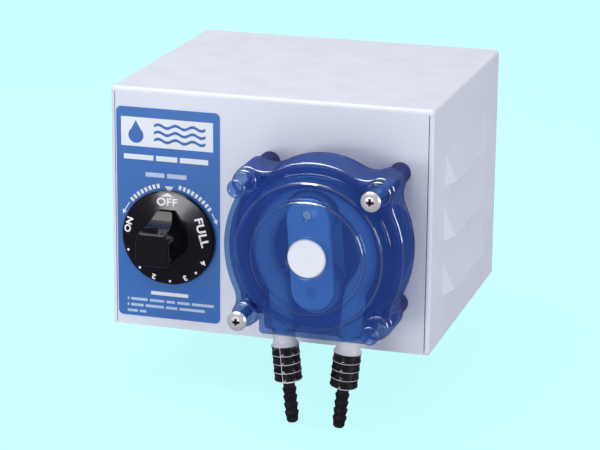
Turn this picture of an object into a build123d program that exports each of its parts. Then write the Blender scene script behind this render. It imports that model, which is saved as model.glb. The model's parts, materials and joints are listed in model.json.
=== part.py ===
from build123d import *
import os
from math import acos, asin, cos, hypot, pi, radians, sin, tan

# A wall-mounted peristaltic dosing pump.
# Frame: origin at the centre of the wall bracket's four holes, on the wall plane.
# +X is to the right as seen from the front, +Y points into the wall, +Z is up.
# "out" always means millimetres out from the front panel's painted face, so it is
# negative inside the case.

# ---- Case ----
CASE_WIDTH = 190.0
CASE_DEPTH = 166.0
CASE_HEIGHT = 142.0
SHEET = 1.2
BEND = 2.4
STANDOFF = 9.0
TOP_Z = 58.0
LIP = 12.0
SEAM_GAP = 0.5
SEAM_TOP_DROP = 3.0
LOUVRE_COUNT = 3
LOUVRE_TOP_LIP_Z = 7.0
LOUVRE_PITCH = 32.5
LOUVRE_HEIGHT = 20.0
LOUVRE_REACH = 3.8
LOUVRE_FRONT = 31.0
LOUVRE_LENGTH = 104.0
LOUVRE_RAMP = 13.0
VENT_COUNT = 9
VENT_PITCH = 8.0

# ---- Label and control knob ----
LABEL_X = (-91.4, -29.0)
LABEL_Z = (-78.4, 46.6)
LABEL_THICK = 0.3
KNOB_AT = (-59.6, -28.7)
KNOB_SKIRT_R = 28.0
KNOB_OUT = (0.9, 30.0)
GRIP_WIDTH = 20.0
CONTROL_SHAFT_R = 3.0
BUSHING_R = 4.75
CONTROL_HALF = 20.0
CONTROL_DEPTH = 24.0
CONTROL_WALL = 2.0

# ---- Pump head ----
PUMP_AT = (38.7, -16.5)
POST_OFFSET = 37.8
POST_R = 6.0
PLATE_OUT = (18.0, 21.0)
RIM_OUT = 42.0
WALL = 2.5
SIDE_BULGE_R = 60.0
SIDE_REACH = 51.4
TOP_BULGE_R = 46.0
TOP_REACH = 50.8
NOTCH_R = 14.0
LUG_R = 7.75
FLAT_BOTTOM = 50.0
FLAT_HALF_WIDTH = 31.0
DRUM_R = (44.5, 42.0)
DRUM_OUT = 52.0
FACE_R = (33.0, 32.0)
FACE_OUT = 55.0
HUB_HOLE_R = 11.5
HUB_R = 10.9
HUB_OUT = 54.4
COLLAR_R = 7.2
COLLAR_OUT = 48.0
BOSS_R = 5.25
BOSS_OUT = 62.0
LOW_BOSS_OUT = 59.0
COVER_SCREW_R = 2.4
COVER_HEAD_R = 5.6
RACEWAY_R = 37.5
RACEWAY_WALL = 2.8
RACEWAY_OUT = 47.0

# ---- Rotor, rollers and squeeze tube ----
ROTOR_TILT = 4.0
BAR_WIDTH = 24.0
BAR_LENGTH = 63.0
ROLLER_AT = 21.0
ROLLER_R = 13.5
ROLLER_OUT = (26.3, 43.5)
ROLLER_AXLE_R = 3.0
TUBE_R = 6.3
TUBE_OUT = 33.0
LEG_X = 19.0
LEG_TILT = 6.0
LEG_BEND_R = 14.0
TUBE_END = 28.5
TUBE_BULGE_R = 8.2
SPIGOT_LENGTH = 25.0
SPIGOT_BORE_R = 1.9
BARB_COUNT = 4
BARB_RIDGE_R = 6.5
BARB_ROOT_R = 5.6
BARB_PITCH = 5.0
SMALL_ROOT_R = 3.3
SMALL_RIDGE_R = 4.0
SMALL_PITCH = 4.6
KEY_WIDTH = 3.0
KEY_LENGTH = 10.0
KEY_OUT = (33.5, 36.5)

# ---- Drive ----
SHAFT_R = 4.0
RUNNING_GAP = 0.05
PRESSURE_ANGLE = radians(25.0)
BACKLASH = 0.14
PINION_TEETH = 12
GEAR_TEETH = 30
STAGE_MODULES = (1.25, 1.0, 0.8)
STAGE_DIRECTIONS = (150.0, 70.0, 0.0)
GEARBOX_X = (-5.0, 71.0)
GEARBOX_Z = (-49.0, 34.0)
GEARBOX_DEPTH = 25.0
GEARBOX_WALL = 2.5
COVER_DEPTH = 3.0
BUSH_R = 6.4
AXLE_R = 2.0
MOTOR_SHAFT_R = 2.5
MOTOR_ROTOR_R = 10.0
AIR_GAP = 0.4
STACK_DEPTHS = (43.0, 61.0)
STACK_HALF = 26.0
STACK_TOP = 22.0
STACK_BOTTOM = -46.0
YOKE_Z = (-46.0, -34.0)
COIL_HALF = 13.0
MOTOR_SCREW_R = 2.0
SLEEVE_R = 5.5
FAN_BLADES = 5

# ---- Wall bracket ----
HOLE_SPACING_X = 80.0
HOLE_SPACING_Z = 40.0
WALL_HOLE_R = 2.75
BRACKET_HALF_WIDTH = 55.0
BRACKET_THICK = 2.0
HOOK_Z = 22.0
LOCK_AT = (0.0, -24.0)

# ---- Cable gland ----
GLAND_AT = (-60.0, -42.0)
GLAND_THREAD_R = 10.0
GLAND_BORE_R = 4.0

# ---- Places that follow from the dimensions above ----
BACK_Y = -STANDOFF
FRONT_Y = BACK_Y - CASE_DEPTH
BOTTOM_Z = TOP_Z - CASE_HEIGHT
HALF_WIDTH = CASE_WIDTH / 2
INSIDE = -SHEET
REAR = -CASE_DEPTH
WALL_OUT = FRONT_Y
UPPER_RIGHT = (PUMP_AT[0] + POST_OFFSET, PUMP_AT[1] + POST_OFFSET)
LOWER_LEFT = (PUMP_AT[0] - POST_OFFSET, PUMP_AT[1] - POST_OFFSET)
UPPER_LEFT = (LOWER_LEFT[0], UPPER_RIGHT[1])
LOWER_RIGHT = (UPPER_RIGHT[0], LOWER_LEFT[1])
POSTS = (UPPER_LEFT, UPPER_RIGHT, LOWER_LEFT, LOWER_RIGHT)
SCREW_POSTS = (UPPER_RIGHT, LOWER_LEFT)
PEG_POSTS = (UPPER_LEFT, LOWER_RIGHT)
KEY_X = (PUMP_AT[0] - KEY_LENGTH / 2, PUMP_AT[0] + KEY_LENGTH / 2)
KEY_Z = (PUMP_AT[1] - KEY_WIDTH / 2, PUMP_AT[1] + KEY_WIDTH / 2)


def next_centre(start, module, direction):
    """Centre of the gear that meshes with one at `start`, in the given direction."""
    distance = module * (PINION_TEETH + GEAR_TEETH) / 2
    angle = radians(direction)
    return (start[0] + distance * cos(angle), start[1] + distance * sin(angle))


def meshing_angle(direction, driven_teeth, driver_angle, driver_teeth):
    """Tooth angle of a driven gear that meshes with a driver lying in `direction` behind it."""
    driver_phase = (direction - driver_angle) * driver_teeth / 360
    driven_phase = 0.5 - driver_phase
    return direction + 180 - driven_phase * 360 / driven_teeth


SECOND_AXLE = next_centre(PUMP_AT, STAGE_MODULES[0], STAGE_DIRECTIONS[0])
FIRST_AXLE = next_centre(SECOND_AXLE, STAGE_MODULES[1], STAGE_DIRECTIONS[1])
MOTOR_AT = next_centre(FIRST_AXLE, STAGE_MODULES[2], STAGE_DIRECTIONS[2])
OUTPUT_GEAR_ANGLE = 0.0
SECOND_PINION_ANGLE = meshing_angle(STAGE_DIRECTIONS[0], PINION_TEETH, OUTPUT_GEAR_ANGLE, GEAR_TEETH)
SECOND_GEAR_ANGLE = 0.0
FIRST_PINION_ANGLE = meshing_angle(STAGE_DIRECTIONS[1], PINION_TEETH, SECOND_GEAR_ANGLE, GEAR_TEETH)
FIRST_GEAR_ANGLE = 0.0
MOTOR_PINION_ANGLE = meshing_angle(STAGE_DIRECTIONS[2], PINION_TEETH, FIRST_GEAR_ANGLE, GEAR_TEETH)


# ---- Small helpers ----
def panel(out):
    """Y of the plane that lies `out` in front of the front panel."""
    return FRONT_Y - out


def rod(at, radius, near, far):
    """A cylinder along Y, centred on the front-view point `at`."""
    middle = Pos(at[0], panel((near + far) / 2), at[1])
    return middle * Rot(90, 0, 0) * Cylinder(radius, abs(far - near))


def cone(at, near_radius, far_radius, near, far):
    """A cone along Y whose radii are given at its near and far (further out) ends."""
    middle = Pos(at[0], panel((near + far) / 2), at[1])
    return middle * Rot(90, 0, 0) * Cone(near_radius, far_radius, far - near)


def block(x_range, out_range, z_range):
    """A box between two X, two outward distances and two Z."""
    centre = Pos(sum(x_range) / 2, panel(sum(out_range) / 2), sum(z_range) / 2)
    return centre * Box(
        abs(x_range[1] - x_range[0]), abs(out_range[1] - out_range[0]), abs(z_range[1] - z_range[0])
    )


def slab(sketch, at, near, far):
    """A sketch drawn as seen from the front, made solid from `near` out to `far`."""
    plane = Plane(origin=(at[0], panel(near), at[1]), x_dir=(1, 0, 0), z_dir=(0, -1, 0))
    return extrude(plane * sketch, amount=far - near)


def turned(profile, at):
    """A solid of revolution about Y; the profile holds (radius, out) points."""
    plane = Plane(origin=(at[0], panel(0), at[1]), x_dir=(1, 0, 0), z_dir=(0, 0, -1))
    face = plane * make_face(Polyline(*profile, close=True))
    return revolve(face, axis=Axis((at[0], panel(0), at[1]), (0, -1, 0)))


def spun(shape, at, degrees_clockwise):
    """Turn a shape about the Y axis through `at`, clockwise as seen from the front."""
    return shape.rotate(Axis((at[0], 0, at[1]), (0, 1, 0)), degrees_clockwise)


def around(at, radius, angle):
    """The front-view point at a radius and an anticlockwise angle from +X."""
    return (at[0] + radius * cos(radians(angle)), at[1] + radius * sin(radians(angle)))


def hexagon(at, across_flats, near, far):
    """A hexagonal prism along Y."""
    return slab(RegularPolygon(across_flats / 3**0.5, 6), at, near, far)


def upright(x, y, radius, low, high):
    """A cylinder along Z."""
    return Pos(x, y, (low + high) / 2) * Cylinder(radius, high - low)


def cross_recess(at, out, size, depth):
    """The four-winged hole of a Phillips head, cut inward from `out`."""
    wing = size * 0.3
    flat = slab(Rectangle(size, wing) + Rectangle(wing, size), at, out - depth, out + 1)
    return flat & cone(at, size * 0.18, size * 0.62, out - depth, out + 1)


def mirrored(shape):
    """The shape's reflection in the plane X = 0."""
    return mirror(shape, about=Plane.YZ)


def save(name, shape):
    """Write one node's STEP file."""
    shape.label = name
    export_step(shape, f"parts/{name}.step")


# ---- Case ----
def case_block(inset, bend, z_low):
    """The folded sheet's outer or inner surface as a solid."""
    half = HALF_WIDTH - inset
    front = -inset
    top = TOP_Z - inset
    rear = REAR + SHEET
    solid = block((-half, half), (front, rear), (z_low, top))
    edges = [
        e
        for e in solid.edges()
        if (e.center().Y < panel(front) + 0.1 and abs(e.center().Z - z_low) > 0.1)
        or (e.center().Z > top - 0.1 and abs(e.center().X) > half - 0.1)
    ]
    return fillet(edges, bend)


def louvre(lip_z):
    """The pressed scoop on the right-hand side above one lip."""
    inner = HALF_WIDTH - SHEET
    high = lip_z + LOUVRE_HEIGHT
    tip = (HALF_WIDTH + LOUVRE_REACH, lip_z)
    swell = (HALF_WIDTH + LOUVRE_REACH * 0.44, lip_z + LOUVRE_HEIGHT * 0.5)
    section = make_face(
        [
            Line((inner, lip_z), tip),
            ThreePointArc(tip, swell, (HALF_WIDTH, high)),
            Line((HALF_WIDTH, high), (inner, high)),
            Line((inner, high), (inner, lip_z)),
        ]
    )
    rise = slab(section, (0, 0), -LOUVRE_FRONT - LOUVRE_LENGTH, -LOUVRE_FRONT)
    near = panel(-LOUVRE_FRONT)
    far = near + LOUVRE_LENGTH
    reach = HALF_WIDTH + LOUVRE_REACH
    plan = Polygon(
        (inner, near),
        (HALF_WIDTH, near),
        (reach, near + LOUVRE_RAMP),
        (reach, far - LOUVRE_RAMP),
        (HALF_WIDTH, far),
        (inner, far),
        align=None,
    )
    bends = plan.vertices().sort_by(Axis.X)[-2:]
    plan = fillet(bends, LOUVRE_RAMP * 0.9)
    footprint = extrude(Plane.XY.offset(lip_z) * plan, amount=LOUVRE_HEIGHT)
    return rise & footprint


def case_screw_points():
    """Centres of the case screws: four under the base and four in the back."""
    side = HALF_WIDTH - SHEET - LIP / 2
    under = [(x, y) for x in (-side, side) for y in (FRONT_Y + 25, BACK_Y - 30)]
    back = [(x, z) for x in (-side, side) for z in (BOTTOM_Z + 25, TOP_Z - 22)]
    return under, back


def case_shell():
    """Front, top and sides in one folded sheet, with lips for the base and back."""
    low = BOTTOM_Z + SHEET
    shell = case_block(0, BEND, low) - case_block(SHEET, BEND - SHEET, low - 10)
    inner = HALF_WIDTH - SHEET
    rear = REAR + SHEET
    shell -= block((-inner, inner), (rear + 5, rear - 5), (low - 5, TOP_Z - SHEET))
    floor_lip = block((-inner, inner), (INSIDE, rear), (low, low + SHEET))
    floor_lip -= block((-inner + LIP, inner - LIP), (INSIDE - LIP, rear - 1), (low - 1, low + 3))
    back_lip = block((-inner, inner), (rear + SHEET, rear), (low, TOP_Z - SHEET))
    back_lip -= block((-inner + LIP, inner - LIP), (rear + 3, rear - 1), (low - 1, TOP_Z - LIP))
    shell += floor_lip + back_lip
    for step in range(LOUVRE_COUNT):
        scoop = louvre(LOUVRE_TOP_LIP_Z - step * LOUVRE_PITCH)
        slot = Pos(-SHEET, 0, -0.8) * scoop
        shell = shell + scoop + mirrored(scoop)
        shell = shell - slot - mirrored(slot)
    seam_x = HALF_WIDTH - BEND
    seam = block((seam_x - SEAM_GAP, seam_x), (1, INSIDE - 0.1), (low - 1, TOP_Z - SEAM_TOP_DROP))
    shell = shell - seam - mirrored(seam)
    shell -= rod(KNOB_AT, BUSHING_R + 0.3, 1, INSIDE - 1)
    shell -= rod(PUMP_AT, 9.0, 1, INSIDE - 1)
    for post in SCREW_POSTS:
        shell -= rod(post, COVER_SCREW_R + 0.4, 1, INSIDE - 1)
    for post in PEG_POSTS:
        shell -= rod(post, 2.8, 1, INSIDE - 1)
    for hole in gearbox_screw_points():
        shell -= rod(hole, 2.2, 1, INSIDE - 1)
    under, back = case_screw_points()
    for x, y in under:
        shell -= upright(x, y, 1.6, low - 1, low + 3)
    for hole in back:
        shell -= rod(hole, 1.6, rear + 3, rear - 1)
    return shell


def base_plate():
    """Floor and back of the case in one folded sheet, outside the shell's lips."""
    rear = REAR
    floor = block((-HALF_WIDTH, HALF_WIDTH), (0, rear), (BOTTOM_Z, BOTTOM_Z + SHEET))
    back = block((-HALF_WIDTH, HALF_WIDTH), (rear + SHEET, rear), (BOTTOM_Z, TOP_Z))
    plate = floor + back
    top_corners = [
        e
        for e in plate.edges().filter_by(Axis.Y)
        if e.center().Z > TOP_Z - 0.1 or (e.center().Z < BOTTOM_Z + 0.1 and e.length < 2)
    ]
    plate = fillet(top_corners, BEND)
    heel = [
        e
        for e in plate.edges().filter_by(Axis.X)
        if e.center().Y > BACK_Y - 0.1 and e.center().Z < BOTTOM_Z + 0.1
    ]
    plate = fillet(heel, 0.9)
    for step in range(VENT_COUNT):
        vent = Pos(-40 + step * VENT_PITCH, FRONT_Y + 48, BOTTOM_Z + SHEET / 2)
        plate -= vent * extrude(SlotOverall(40, 4, rotation=90), amount=SHEET, both=True)
    under, back_points = case_screw_points()
    for x, y in under:
        plate -= upright(x, y, 2.0, BOTTOM_Z - 1, BOTTOM_Z + SHEET + 1)
    for hole in back_points:
        plate -= rod(hole, 2.0, rear + 3, rear - 1)
    plate -= upright(*GLAND_AT, GLAND_THREAD_R + 0.2, BOTTOM_Z - 1, BOTTOM_Z + SHEET + 1)
    plate -= upright(*LOCK_AT, 2.9, BOTTOM_Z - 1, BOTTOM_Z + SHEET + 1)
    for side in (-1, 1):
        slot_x = side * (BRACKET_HALF_WIDTH - BRACKET_THICK / 2)
        plate -= block((slot_x - 1.4, slot_x + 1.4), (rear + 3, rear - 1), (HOOK_Z - 0.4, HOOK_Z + 16))
    return plate


def pan_head_screw(at, head_r, shank_r, seat, tip, head_height):
    """A Phillips pan head facing out from `seat`, with its shank going in to `tip`."""
    profile = [
        (0, tip),
        (shank_r * 0.6, tip),
        (shank_r, tip + shank_r),
        (shank_r, seat),
        (head_r, seat),
        (head_r, seat + head_height * 0.45),
        (head_r * 0.8, seat + head_height * 0.85),
        (0, seat + head_height),
    ]
    screw = turned(profile, at)
    return screw - cross_recess(at, seat + head_height, head_r * 1.1, head_height * 0.8)


def case_screws():
    """Eight self-tapping screws that hold the shell to the base plate."""
    under, back = case_screw_points()
    rear = REAR
    screw = pan_head_screw((0, 0), 3.6, 1.55, 0, -7, 2.2)
    upward = Rot(90, 0, 0) * (Pos(0, -FRONT_Y, 0) * screw)
    backward = Rot(0, 0, 180) * (Pos(0, -FRONT_Y, 0) * screw)
    placed = [Pos(x, y, BOTTOM_Z) * upward for x, y in under]
    placed += [Pos(x, panel(rear), z) * backward for x, z in back]
    return Compound(children=placed)


# ---- Wall bracket ----
def wall_bracket():
    """Channel that is screwed to the wall; its two hooks carry the case."""
    low = BOTTOM_Z - BRACKET_THICK
    high = HOLE_SPACING_Z / 2 + 12
    thick = BRACKET_THICK
    half = BRACKET_HALF_WIDTH
    web = block((-half, half), (WALL_OUT + thick, WALL_OUT), (low, high))
    flange = block((half - thick, half), (WALL_OUT + STANDOFF, WALL_OUT), (BOTTOM_Z + 14, high))
    hook_reach = STANDOFF + SHEET + 5
    arm = block((half - thick, half), (WALL_OUT + hook_reach, WALL_OUT + 1), (HOOK_Z, HOOK_Z + 5))
    nib = block(
        (half - thick, half),
        (WALL_OUT + hook_reach, WALL_OUT + STANDOFF + SHEET + 0.4),
        (HOOK_Z, HOOK_Z + 13),
    )
    side = flange + arm + nib
    foot = block((-14, 14), (WALL_OUT + 36, WALL_OUT), (low, BOTTOM_Z))
    bracket = web + side + mirrored(side) + foot
    bracket -= block((-half - 1, -14), (WALL_OUT + 3, WALL_OUT - 1), (low - 1, BOTTOM_Z + 14))
    bracket -= block((14, half + 1), (WALL_OUT + 3, WALL_OUT - 1), (low - 1, BOTTOM_Z + 14))
    for x in (-HOLE_SPACING_X / 2, HOLE_SPACING_X / 2):
        for z in (-HOLE_SPACING_Z / 2, HOLE_SPACING_Z / 2):
            bracket -= rod((x, z), WALL_HOLE_R, WALL_OUT + 3, WALL_OUT - 1)
    bracket -= block((-24, 24), (WALL_OUT + 3, WALL_OUT - 1), (-50, -24))
    bracket -= upright(*LOCK_AT, 2.9, low - 1, BOTTOM_Z + 1)
    return bracket


def bracket_lock_screw():
    """Hexagon screw and clinch nut that lock the case down on the bracket's foot."""
    low = BOTTOM_Z - BRACKET_THICK
    head = Pos(*LOCK_AT, low - 3.5) * extrude(RegularPolygon(4.6, 6), amount=3.5)
    shank = upright(*LOCK_AT, 2.5, low, BOTTOM_Z + 9)
    nut_low = BOTTOM_Z + SHEET
    nut = Pos(*LOCK_AT, nut_low) * extrude(RegularPolygon(4.6, 6), amount=4)
    return head + shank + nut


# ---- Cable entry ----
def cable_gland():
    """Body and dome cap of the supply gland; the supply cord itself is not part."""
    x, y = GLAND_AT
    body = upright(x, y, GLAND_THREAD_R, BOTTOM_Z, BOTTOM_Z + 9)
    flange = Pos(x, y, BOTTOM_Z - 4) * extrude(RegularPolygon(13.2, 6), amount=4)
    cap = upright(x, y, 11.0, BOTTOM_Z - 14, BOTTOM_Z - 4)
    dome = Pos(x, y, BOTTOM_Z - 17) * Cone(7.5, 11.0, 6)
    gland = body + flange + cap + dome
    for step in range(12):
        angle = radians(step * 30)
        groove = upright(x + 11.3 * cos(angle), y + 11.3 * sin(angle), 0.8, BOTTOM_Z - 14, BOTTOM_Z - 5)
        gland -= groove
    return gland - upright(x, y, GLAND_BORE_R, BOTTOM_Z - 30, BOTTOM_Z + 20)


def gland_nut():
    """Lock nut inside the case."""
    low = BOTTOM_Z + SHEET
    nut = Pos(*GLAND_AT, low) * extrude(RegularPolygon(13.2, 6), amount=4.5)
    return nut - upright(*GLAND_AT, GLAND_THREAD_R, low - 1, low + 6)


def terminal_block():
    """Three-way screw terminal block beside the gland, on the base plate."""
    low = BOTTOM_Z + SHEET
    left = -32.0
    body = Pos(left + 18, GLAND_AT[1], low + 7) * Box(36, 18, 14)
    body = fillet(body.edges().filter_by(Axis.Z), 1.0)
    for step in range(3):
        x = left + 7 + step * 11
        body -= upright(x, GLAND_AT[1], 2.4, low + 7, low + 15)
        body -= Pos(x, GLAND_AT[1], low + 4.5) * Rot(90, 0, 0) * Cylinder(2.2, 20)
    return body


# ---- Label and knob ----
def front_label():
    """Blue label stuck to the left of the front panel."""
    middle = (sum(LABEL_X) / 2, sum(LABEL_Z) / 2)
    face = RectangleRounded(LABEL_X[1] - LABEL_X[0], LABEL_Z[1] - LABEL_Z[0], 3.0)
    label = slab(face, middle, 0, LABEL_THICK)
    return label - rod(KNOB_AT, BUSHING_R + 0.3, -1, 1)


def control_knob():
    """Skirted pointer knob; its grip narrows, and is scooped down, towards the mark."""
    back, front = KNOB_OUT
    skirt = turned(
        [
            (9.0, back),
            (KNOB_SKIRT_R - 1.2, back),
            (KNOB_SKIRT_R, back + 0.6),
            (KNOB_SKIRT_R, back + 1.8),
            (KNOB_SKIRT_R - 0.8, back + 2.6),
            (13.0, back + 4.4),
            (9.0, back + 4.4),
        ],
        KNOB_AT,
    )
    half = GRIP_WIDTH / 2
    plan = Polygon(
        (-half, -9.5), (half, -9.5), (half, 5.0), (4.4, 17.5), (-4.4, 17.5), (-half, 5.0), align=None
    )
    plan = fillet(plan.vertices().group_by(Axis.Y)[0], 3.0)
    plan = fillet(plan.vertices().group_by(Axis.Y)[-1], 1.5)
    grip = slab(plan, KNOB_AT, back + 3.6, front)
    brow, bend, foot = (9.95, front + 1), (10.5, 23.0), (17.8, back + 7.5)
    corner, above = (19.0, back + 7.5), (19.0, front + 1)
    slope = make_face(
        [
            Line(brow, bend),
            ThreePointArc(bend, (12.7, 15.0), foot),
            Line(foot, corner),
            Line(corner, above),
            Line(above, brow),
        ]
    )
    side = Plane(origin=(KNOB_AT[0] - half - 1, FRONT_Y, KNOB_AT[1]), x_dir=(0, 0, 1), z_dir=(1, 0, 0))
    grip -= extrude(side * slope, amount=GRIP_WIDTH + 2, both=True)
    rim = [e for e in grip.edges() if e.center().Y < panel(front) + 0.1]
    grip = fillet(rim, 1.0)
    knob = skirt + grip
    knob -= rod(KNOB_AT, 9.0, back - 1, back + 4.4)
    return knob - rod(KNOB_AT, 5.5, back + 4, back + 18)


def knob_insert():
    """Brass bush moulded into the knob."""
    near = KNOB_OUT[0] + 4.4
    insert = rod(KNOB_AT, 5.5, near, KNOB_OUT[0] + 18)
    return insert - rod(KNOB_AT, CONTROL_SHAFT_R, near - 1, KNOB_OUT[0] + 15)


# ---- Cycle control behind the knob ----
def control_housing():
    """Moulded box of the cycle control, open at the back, on its threaded bushing."""
    back = INSIDE - CONTROL_DEPTH
    x, z = KNOB_AT
    size = (x - CONTROL_HALF, x + CONTROL_HALF)
    tall = (z - CONTROL_HALF, z + CONTROL_HALF)
    box = block(size, (back, INSIDE), tall)
    box = fillet(box.edges().filter_by(Axis.Y), 2.0)
    wall = CONTROL_WALL
    box -= block(
        (size[0] + wall, size[1] - wall), (back - 1, INSIDE - 3), (tall[0] + wall, tall[1] - wall)
    )
    box += rod(KNOB_AT, BUSHING_R, INSIDE - 1, 3.3)
    for step in range(4):
        box -= block(control_terminal_x(step), (INSIDE - 12.4, INSIDE - 9.6), (tall[0] - 1, tall[0] + 3))
    return box - rod(KNOB_AT, CONTROL_SHAFT_R + RUNNING_GAP, INSIDE - 4, 4)


def control_terminal_x(step):
    """X range of one terminal slot in the control's lower wall."""
    x = KNOB_AT[0] - 13.5 + step * 9.0
    return (x - 3.2, x + 3.2)


def control_lid():
    """Back cover of the cycle control, with the shaft's rear bearing."""
    back = INSIDE - CONTROL_DEPTH
    face = RectangleRounded(2 * CONTROL_HALF, 2 * CONTROL_HALF, 2.0)
    plug = Rectangle(2 * (CONTROL_HALF - CONTROL_WALL) - 0.4, 2 * (CONTROL_HALF - CONTROL_WALL) - 0.4)
    lid = slab(face, KNOB_AT, back - 2, back) + slab(plug, KNOB_AT, back, back + 1.5)
    return lid - rod(KNOB_AT, 2.0 + RUNNING_GAP, back - 1, back + 2)


def control_shaft():
    """Spindle from the rear bearing to the knob."""
    back = INSIDE - CONTROL_DEPTH
    shaft = rod(KNOB_AT, CONTROL_SHAFT_R, back + 2, KNOB_OUT[0] + 15)
    return shaft + rod(KNOB_AT, 2.0, back - 0.9, back + 2)


def control_cam():
    """Snail cam whose rising edge sets how long the motor runs in each cycle."""
    at = KNOB_AT
    points = []
    for step in range(37):
        angle = radians(step * 10)
        radius = 7.0 + 5.0 * step / 36
        points.append((radius * cos(angle), radius * sin(angle)))
    cam = slab(Polygon(*points, align=None), at, INSIDE - 16, INSIDE - 10)
    cam += rod(at, 5.0, INSIDE - 20, INSIDE - 4)
    return cam - rod(at, CONTROL_SHAFT_R, INSIDE - 21, INSIDE - 3)


def control_contacts():
    """Two leaf contacts beside the cam."""
    x, z = KNOB_AT
    leaves = []
    for gap in (0.0, 2.6):
        left = x - 13.6 - gap
        leaf = block((left - 0.5, left), (INSIDE - 16, INSIDE - 10), (z - 15, z + 12))
        leaf += Pos(left - 0.25, panel(INSIDE - 13), z + 9) * Rot(0, 90, 0) * Cylinder(2.0, 1.7)
        leaves.append(leaf)
    return Compound(children=leaves)


def control_terminals():
    """Four blade terminals through the control's lower wall."""
    low = KNOB_AT[1] - CONTROL_HALF
    blades = []
    for step in range(4):
        x_range = control_terminal_x(step)
        middle = sum(x_range) / 2
        blade = block(
            (x_range[0] + 0.1, x_range[1] - 0.1), (INSIDE - 11.5, INSIDE - 10.5), (low - 9, low + 2.8)
        )
        blade -= rod((middle, low - 5), 1.0, INSIDE - 13, INSIDE - 9)
        blades.append(blade)
    return Compound(children=blades)


def control_nut():
    """Hexagon nut that clamps the control's bushing to the panel, hidden by the knob."""
    nut = hexagon(KNOB_AT, 14.0, LABEL_THICK, LABEL_THICK + 2.4)
    return nut - rod(KNOB_AT, BUSHING_R, LABEL_THICK - 1, LABEL_THICK + 4)


# ---- Pump head ----
def notch_centre(bulge_at, bulge_r, lug_at):
    """Centre of the round notch that touches both a bulge and a lug from outside."""
    to_bulge = bulge_r + NOTCH_R
    to_lug = LUG_R + NOTCH_R
    across = (lug_at[0] - bulge_at[0], lug_at[1] - bulge_at[1])
    apart = hypot(*across)
    along = (to_bulge**2 + apart**2 - to_lug**2) / (2 * apart)
    aside = (to_bulge**2 - along**2) ** 0.5
    x = bulge_at[0] + (across[0] * along - across[1] * aside) / apart
    y = bulge_at[1] + (across[1] * along + across[0] * aside) / apart
    return (x, y)


def notch_web(bulge_at, bulge_r, lug_at, inset):
    """Flat web that joins a bulge to a lug, hollowed by the notch; also its mirror image."""
    centre = notch_centre(bulge_at, bulge_r, lug_at)
    web = Polygon(bulge_at, lug_at, centre, align=None) - Pos(*centre) * Circle(NOTCH_R + inset)
    return web + mirror(web, about=Plane.YZ)


def head_outline(inset=0.0):
    """Front view of the head: a bulge each side and on top, four lugs and a flat bottom."""
    aside = SIDE_BULGE_R - SIDE_REACH
    side_r = SIDE_BULGE_R - inset
    shape = Pos(-aside, 0) * Circle(side_r) & Pos(aside, 0) * Circle(side_r)
    shape = shape & Rectangle(3 * SIDE_REACH, 2 * POST_OFFSET)
    top_at = (0, TOP_REACH - TOP_BULGE_R)
    shape += Pos(*top_at) * Circle(TOP_BULGE_R - inset)
    for x in (-POST_OFFSET, POST_OFFSET):
        for y in (-POST_OFFSET, POST_OFFSET):
            shape += Pos(x, y) * Circle(LUG_R - inset)
    shape += notch_web(top_at, TOP_BULGE_R, (POST_OFFSET, POST_OFFSET), inset)
    shape += notch_web((-aside, 0), SIDE_BULGE_R, (POST_OFFSET, -POST_OFFSET), inset)
    shape += notch_web((aside, 0), SIDE_BULGE_R, (-POST_OFFSET, POST_OFFSET), inset)
    bottom = RectangleRounded(2 * (FLAT_HALF_WIDTH - inset), FLAT_BOTTOM - inset, 2.5)
    return shape + Pos(0, (inset - FLAT_BOTTOM) / 2) * bottom


def leg_line(side):
    """Start point and downward unit direction of one tube leg, in the front view."""
    tilt = radians(LEG_TILT)
    down = (-side * sin(tilt), -cos(tilt))
    exit_point = (PUMP_AT[0] + side * LEG_X, PUMP_AT[1] - FLAT_BOTTOM)
    return exit_point, down


def along_leg(side, profile):
    """A solid of revolution about a tube leg; the profile holds (radius, distance) points."""
    start, down = leg_line(side)
    plane = Plane(
        origin=(start[0], panel(TUBE_OUT), start[1]), x_dir=(0, -1, 0), z_dir=(-down[1], 0, down[0])
    )
    face = plane * make_face(Polyline(*profile, close=True))
    axis = Axis((start[0], panel(TUBE_OUT), start[1]), (down[0], 0, down[1]))
    return revolve(face, axis=axis)


def leg_cylinder(side, radius, near, far):
    """A plain cylinder on a tube leg."""
    return along_leg(side, [(0, near), (radius, near), (radius, far), (0, far)])


def head_housing():
    """Back half of the head: posts, plate, raceway ring and tube saddles."""
    near, far = PLATE_OUT
    housing = slab(head_outline(), PUMP_AT, near, far)
    for post in POSTS:
        housing += rod(post, POST_R, 0, near)
    ring = rod(PUMP_AT, RACEWAY_R + RACEWAY_WALL, far, RACEWAY_OUT)
    ring -= rod(PUMP_AT, RACEWAY_R, far - 1, RACEWAY_OUT + 1)
    leave, bend_at = bend_geometry()
    reach = FLAT_BOTTOM + 2
    side_x = reach * sin(leave + radians(3))
    side_z = -reach * cos(leave + radians(3))
    gap = Polygon(
        (0, 0), (-side_x, side_z), (-side_x, -reach), (side_x, -reach), (side_x, side_z), align=None
    )
    ring -= slab(gap, PUMP_AT, far, RACEWAY_OUT + 1)
    housing += ring
    for side in (-1, 1):
        exit_x = PUMP_AT[0] + side * LEG_X
        bottom = PUMP_AT[1] - FLAT_BOTTOM
        saddle = block((exit_x - 6.3, exit_x + 6.3), (far, TUBE_OUT), (bottom, bottom + WALL))
        housing += saddle
        housing -= leg_cylinder(side, TUBE_R + 0.3, -12, 1)
    for post in SCREW_POSTS:
        housing -= rod(post, COVER_SCREW_R + 0.3, -1, far + 1)
    for post in PEG_POSTS:
        housing += rod(post, 2.5, INSIDE + 0.1, 0)
    return housing - rod(PUMP_AT, SHAFT_R + 0.4, 0, far + 1)


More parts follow.
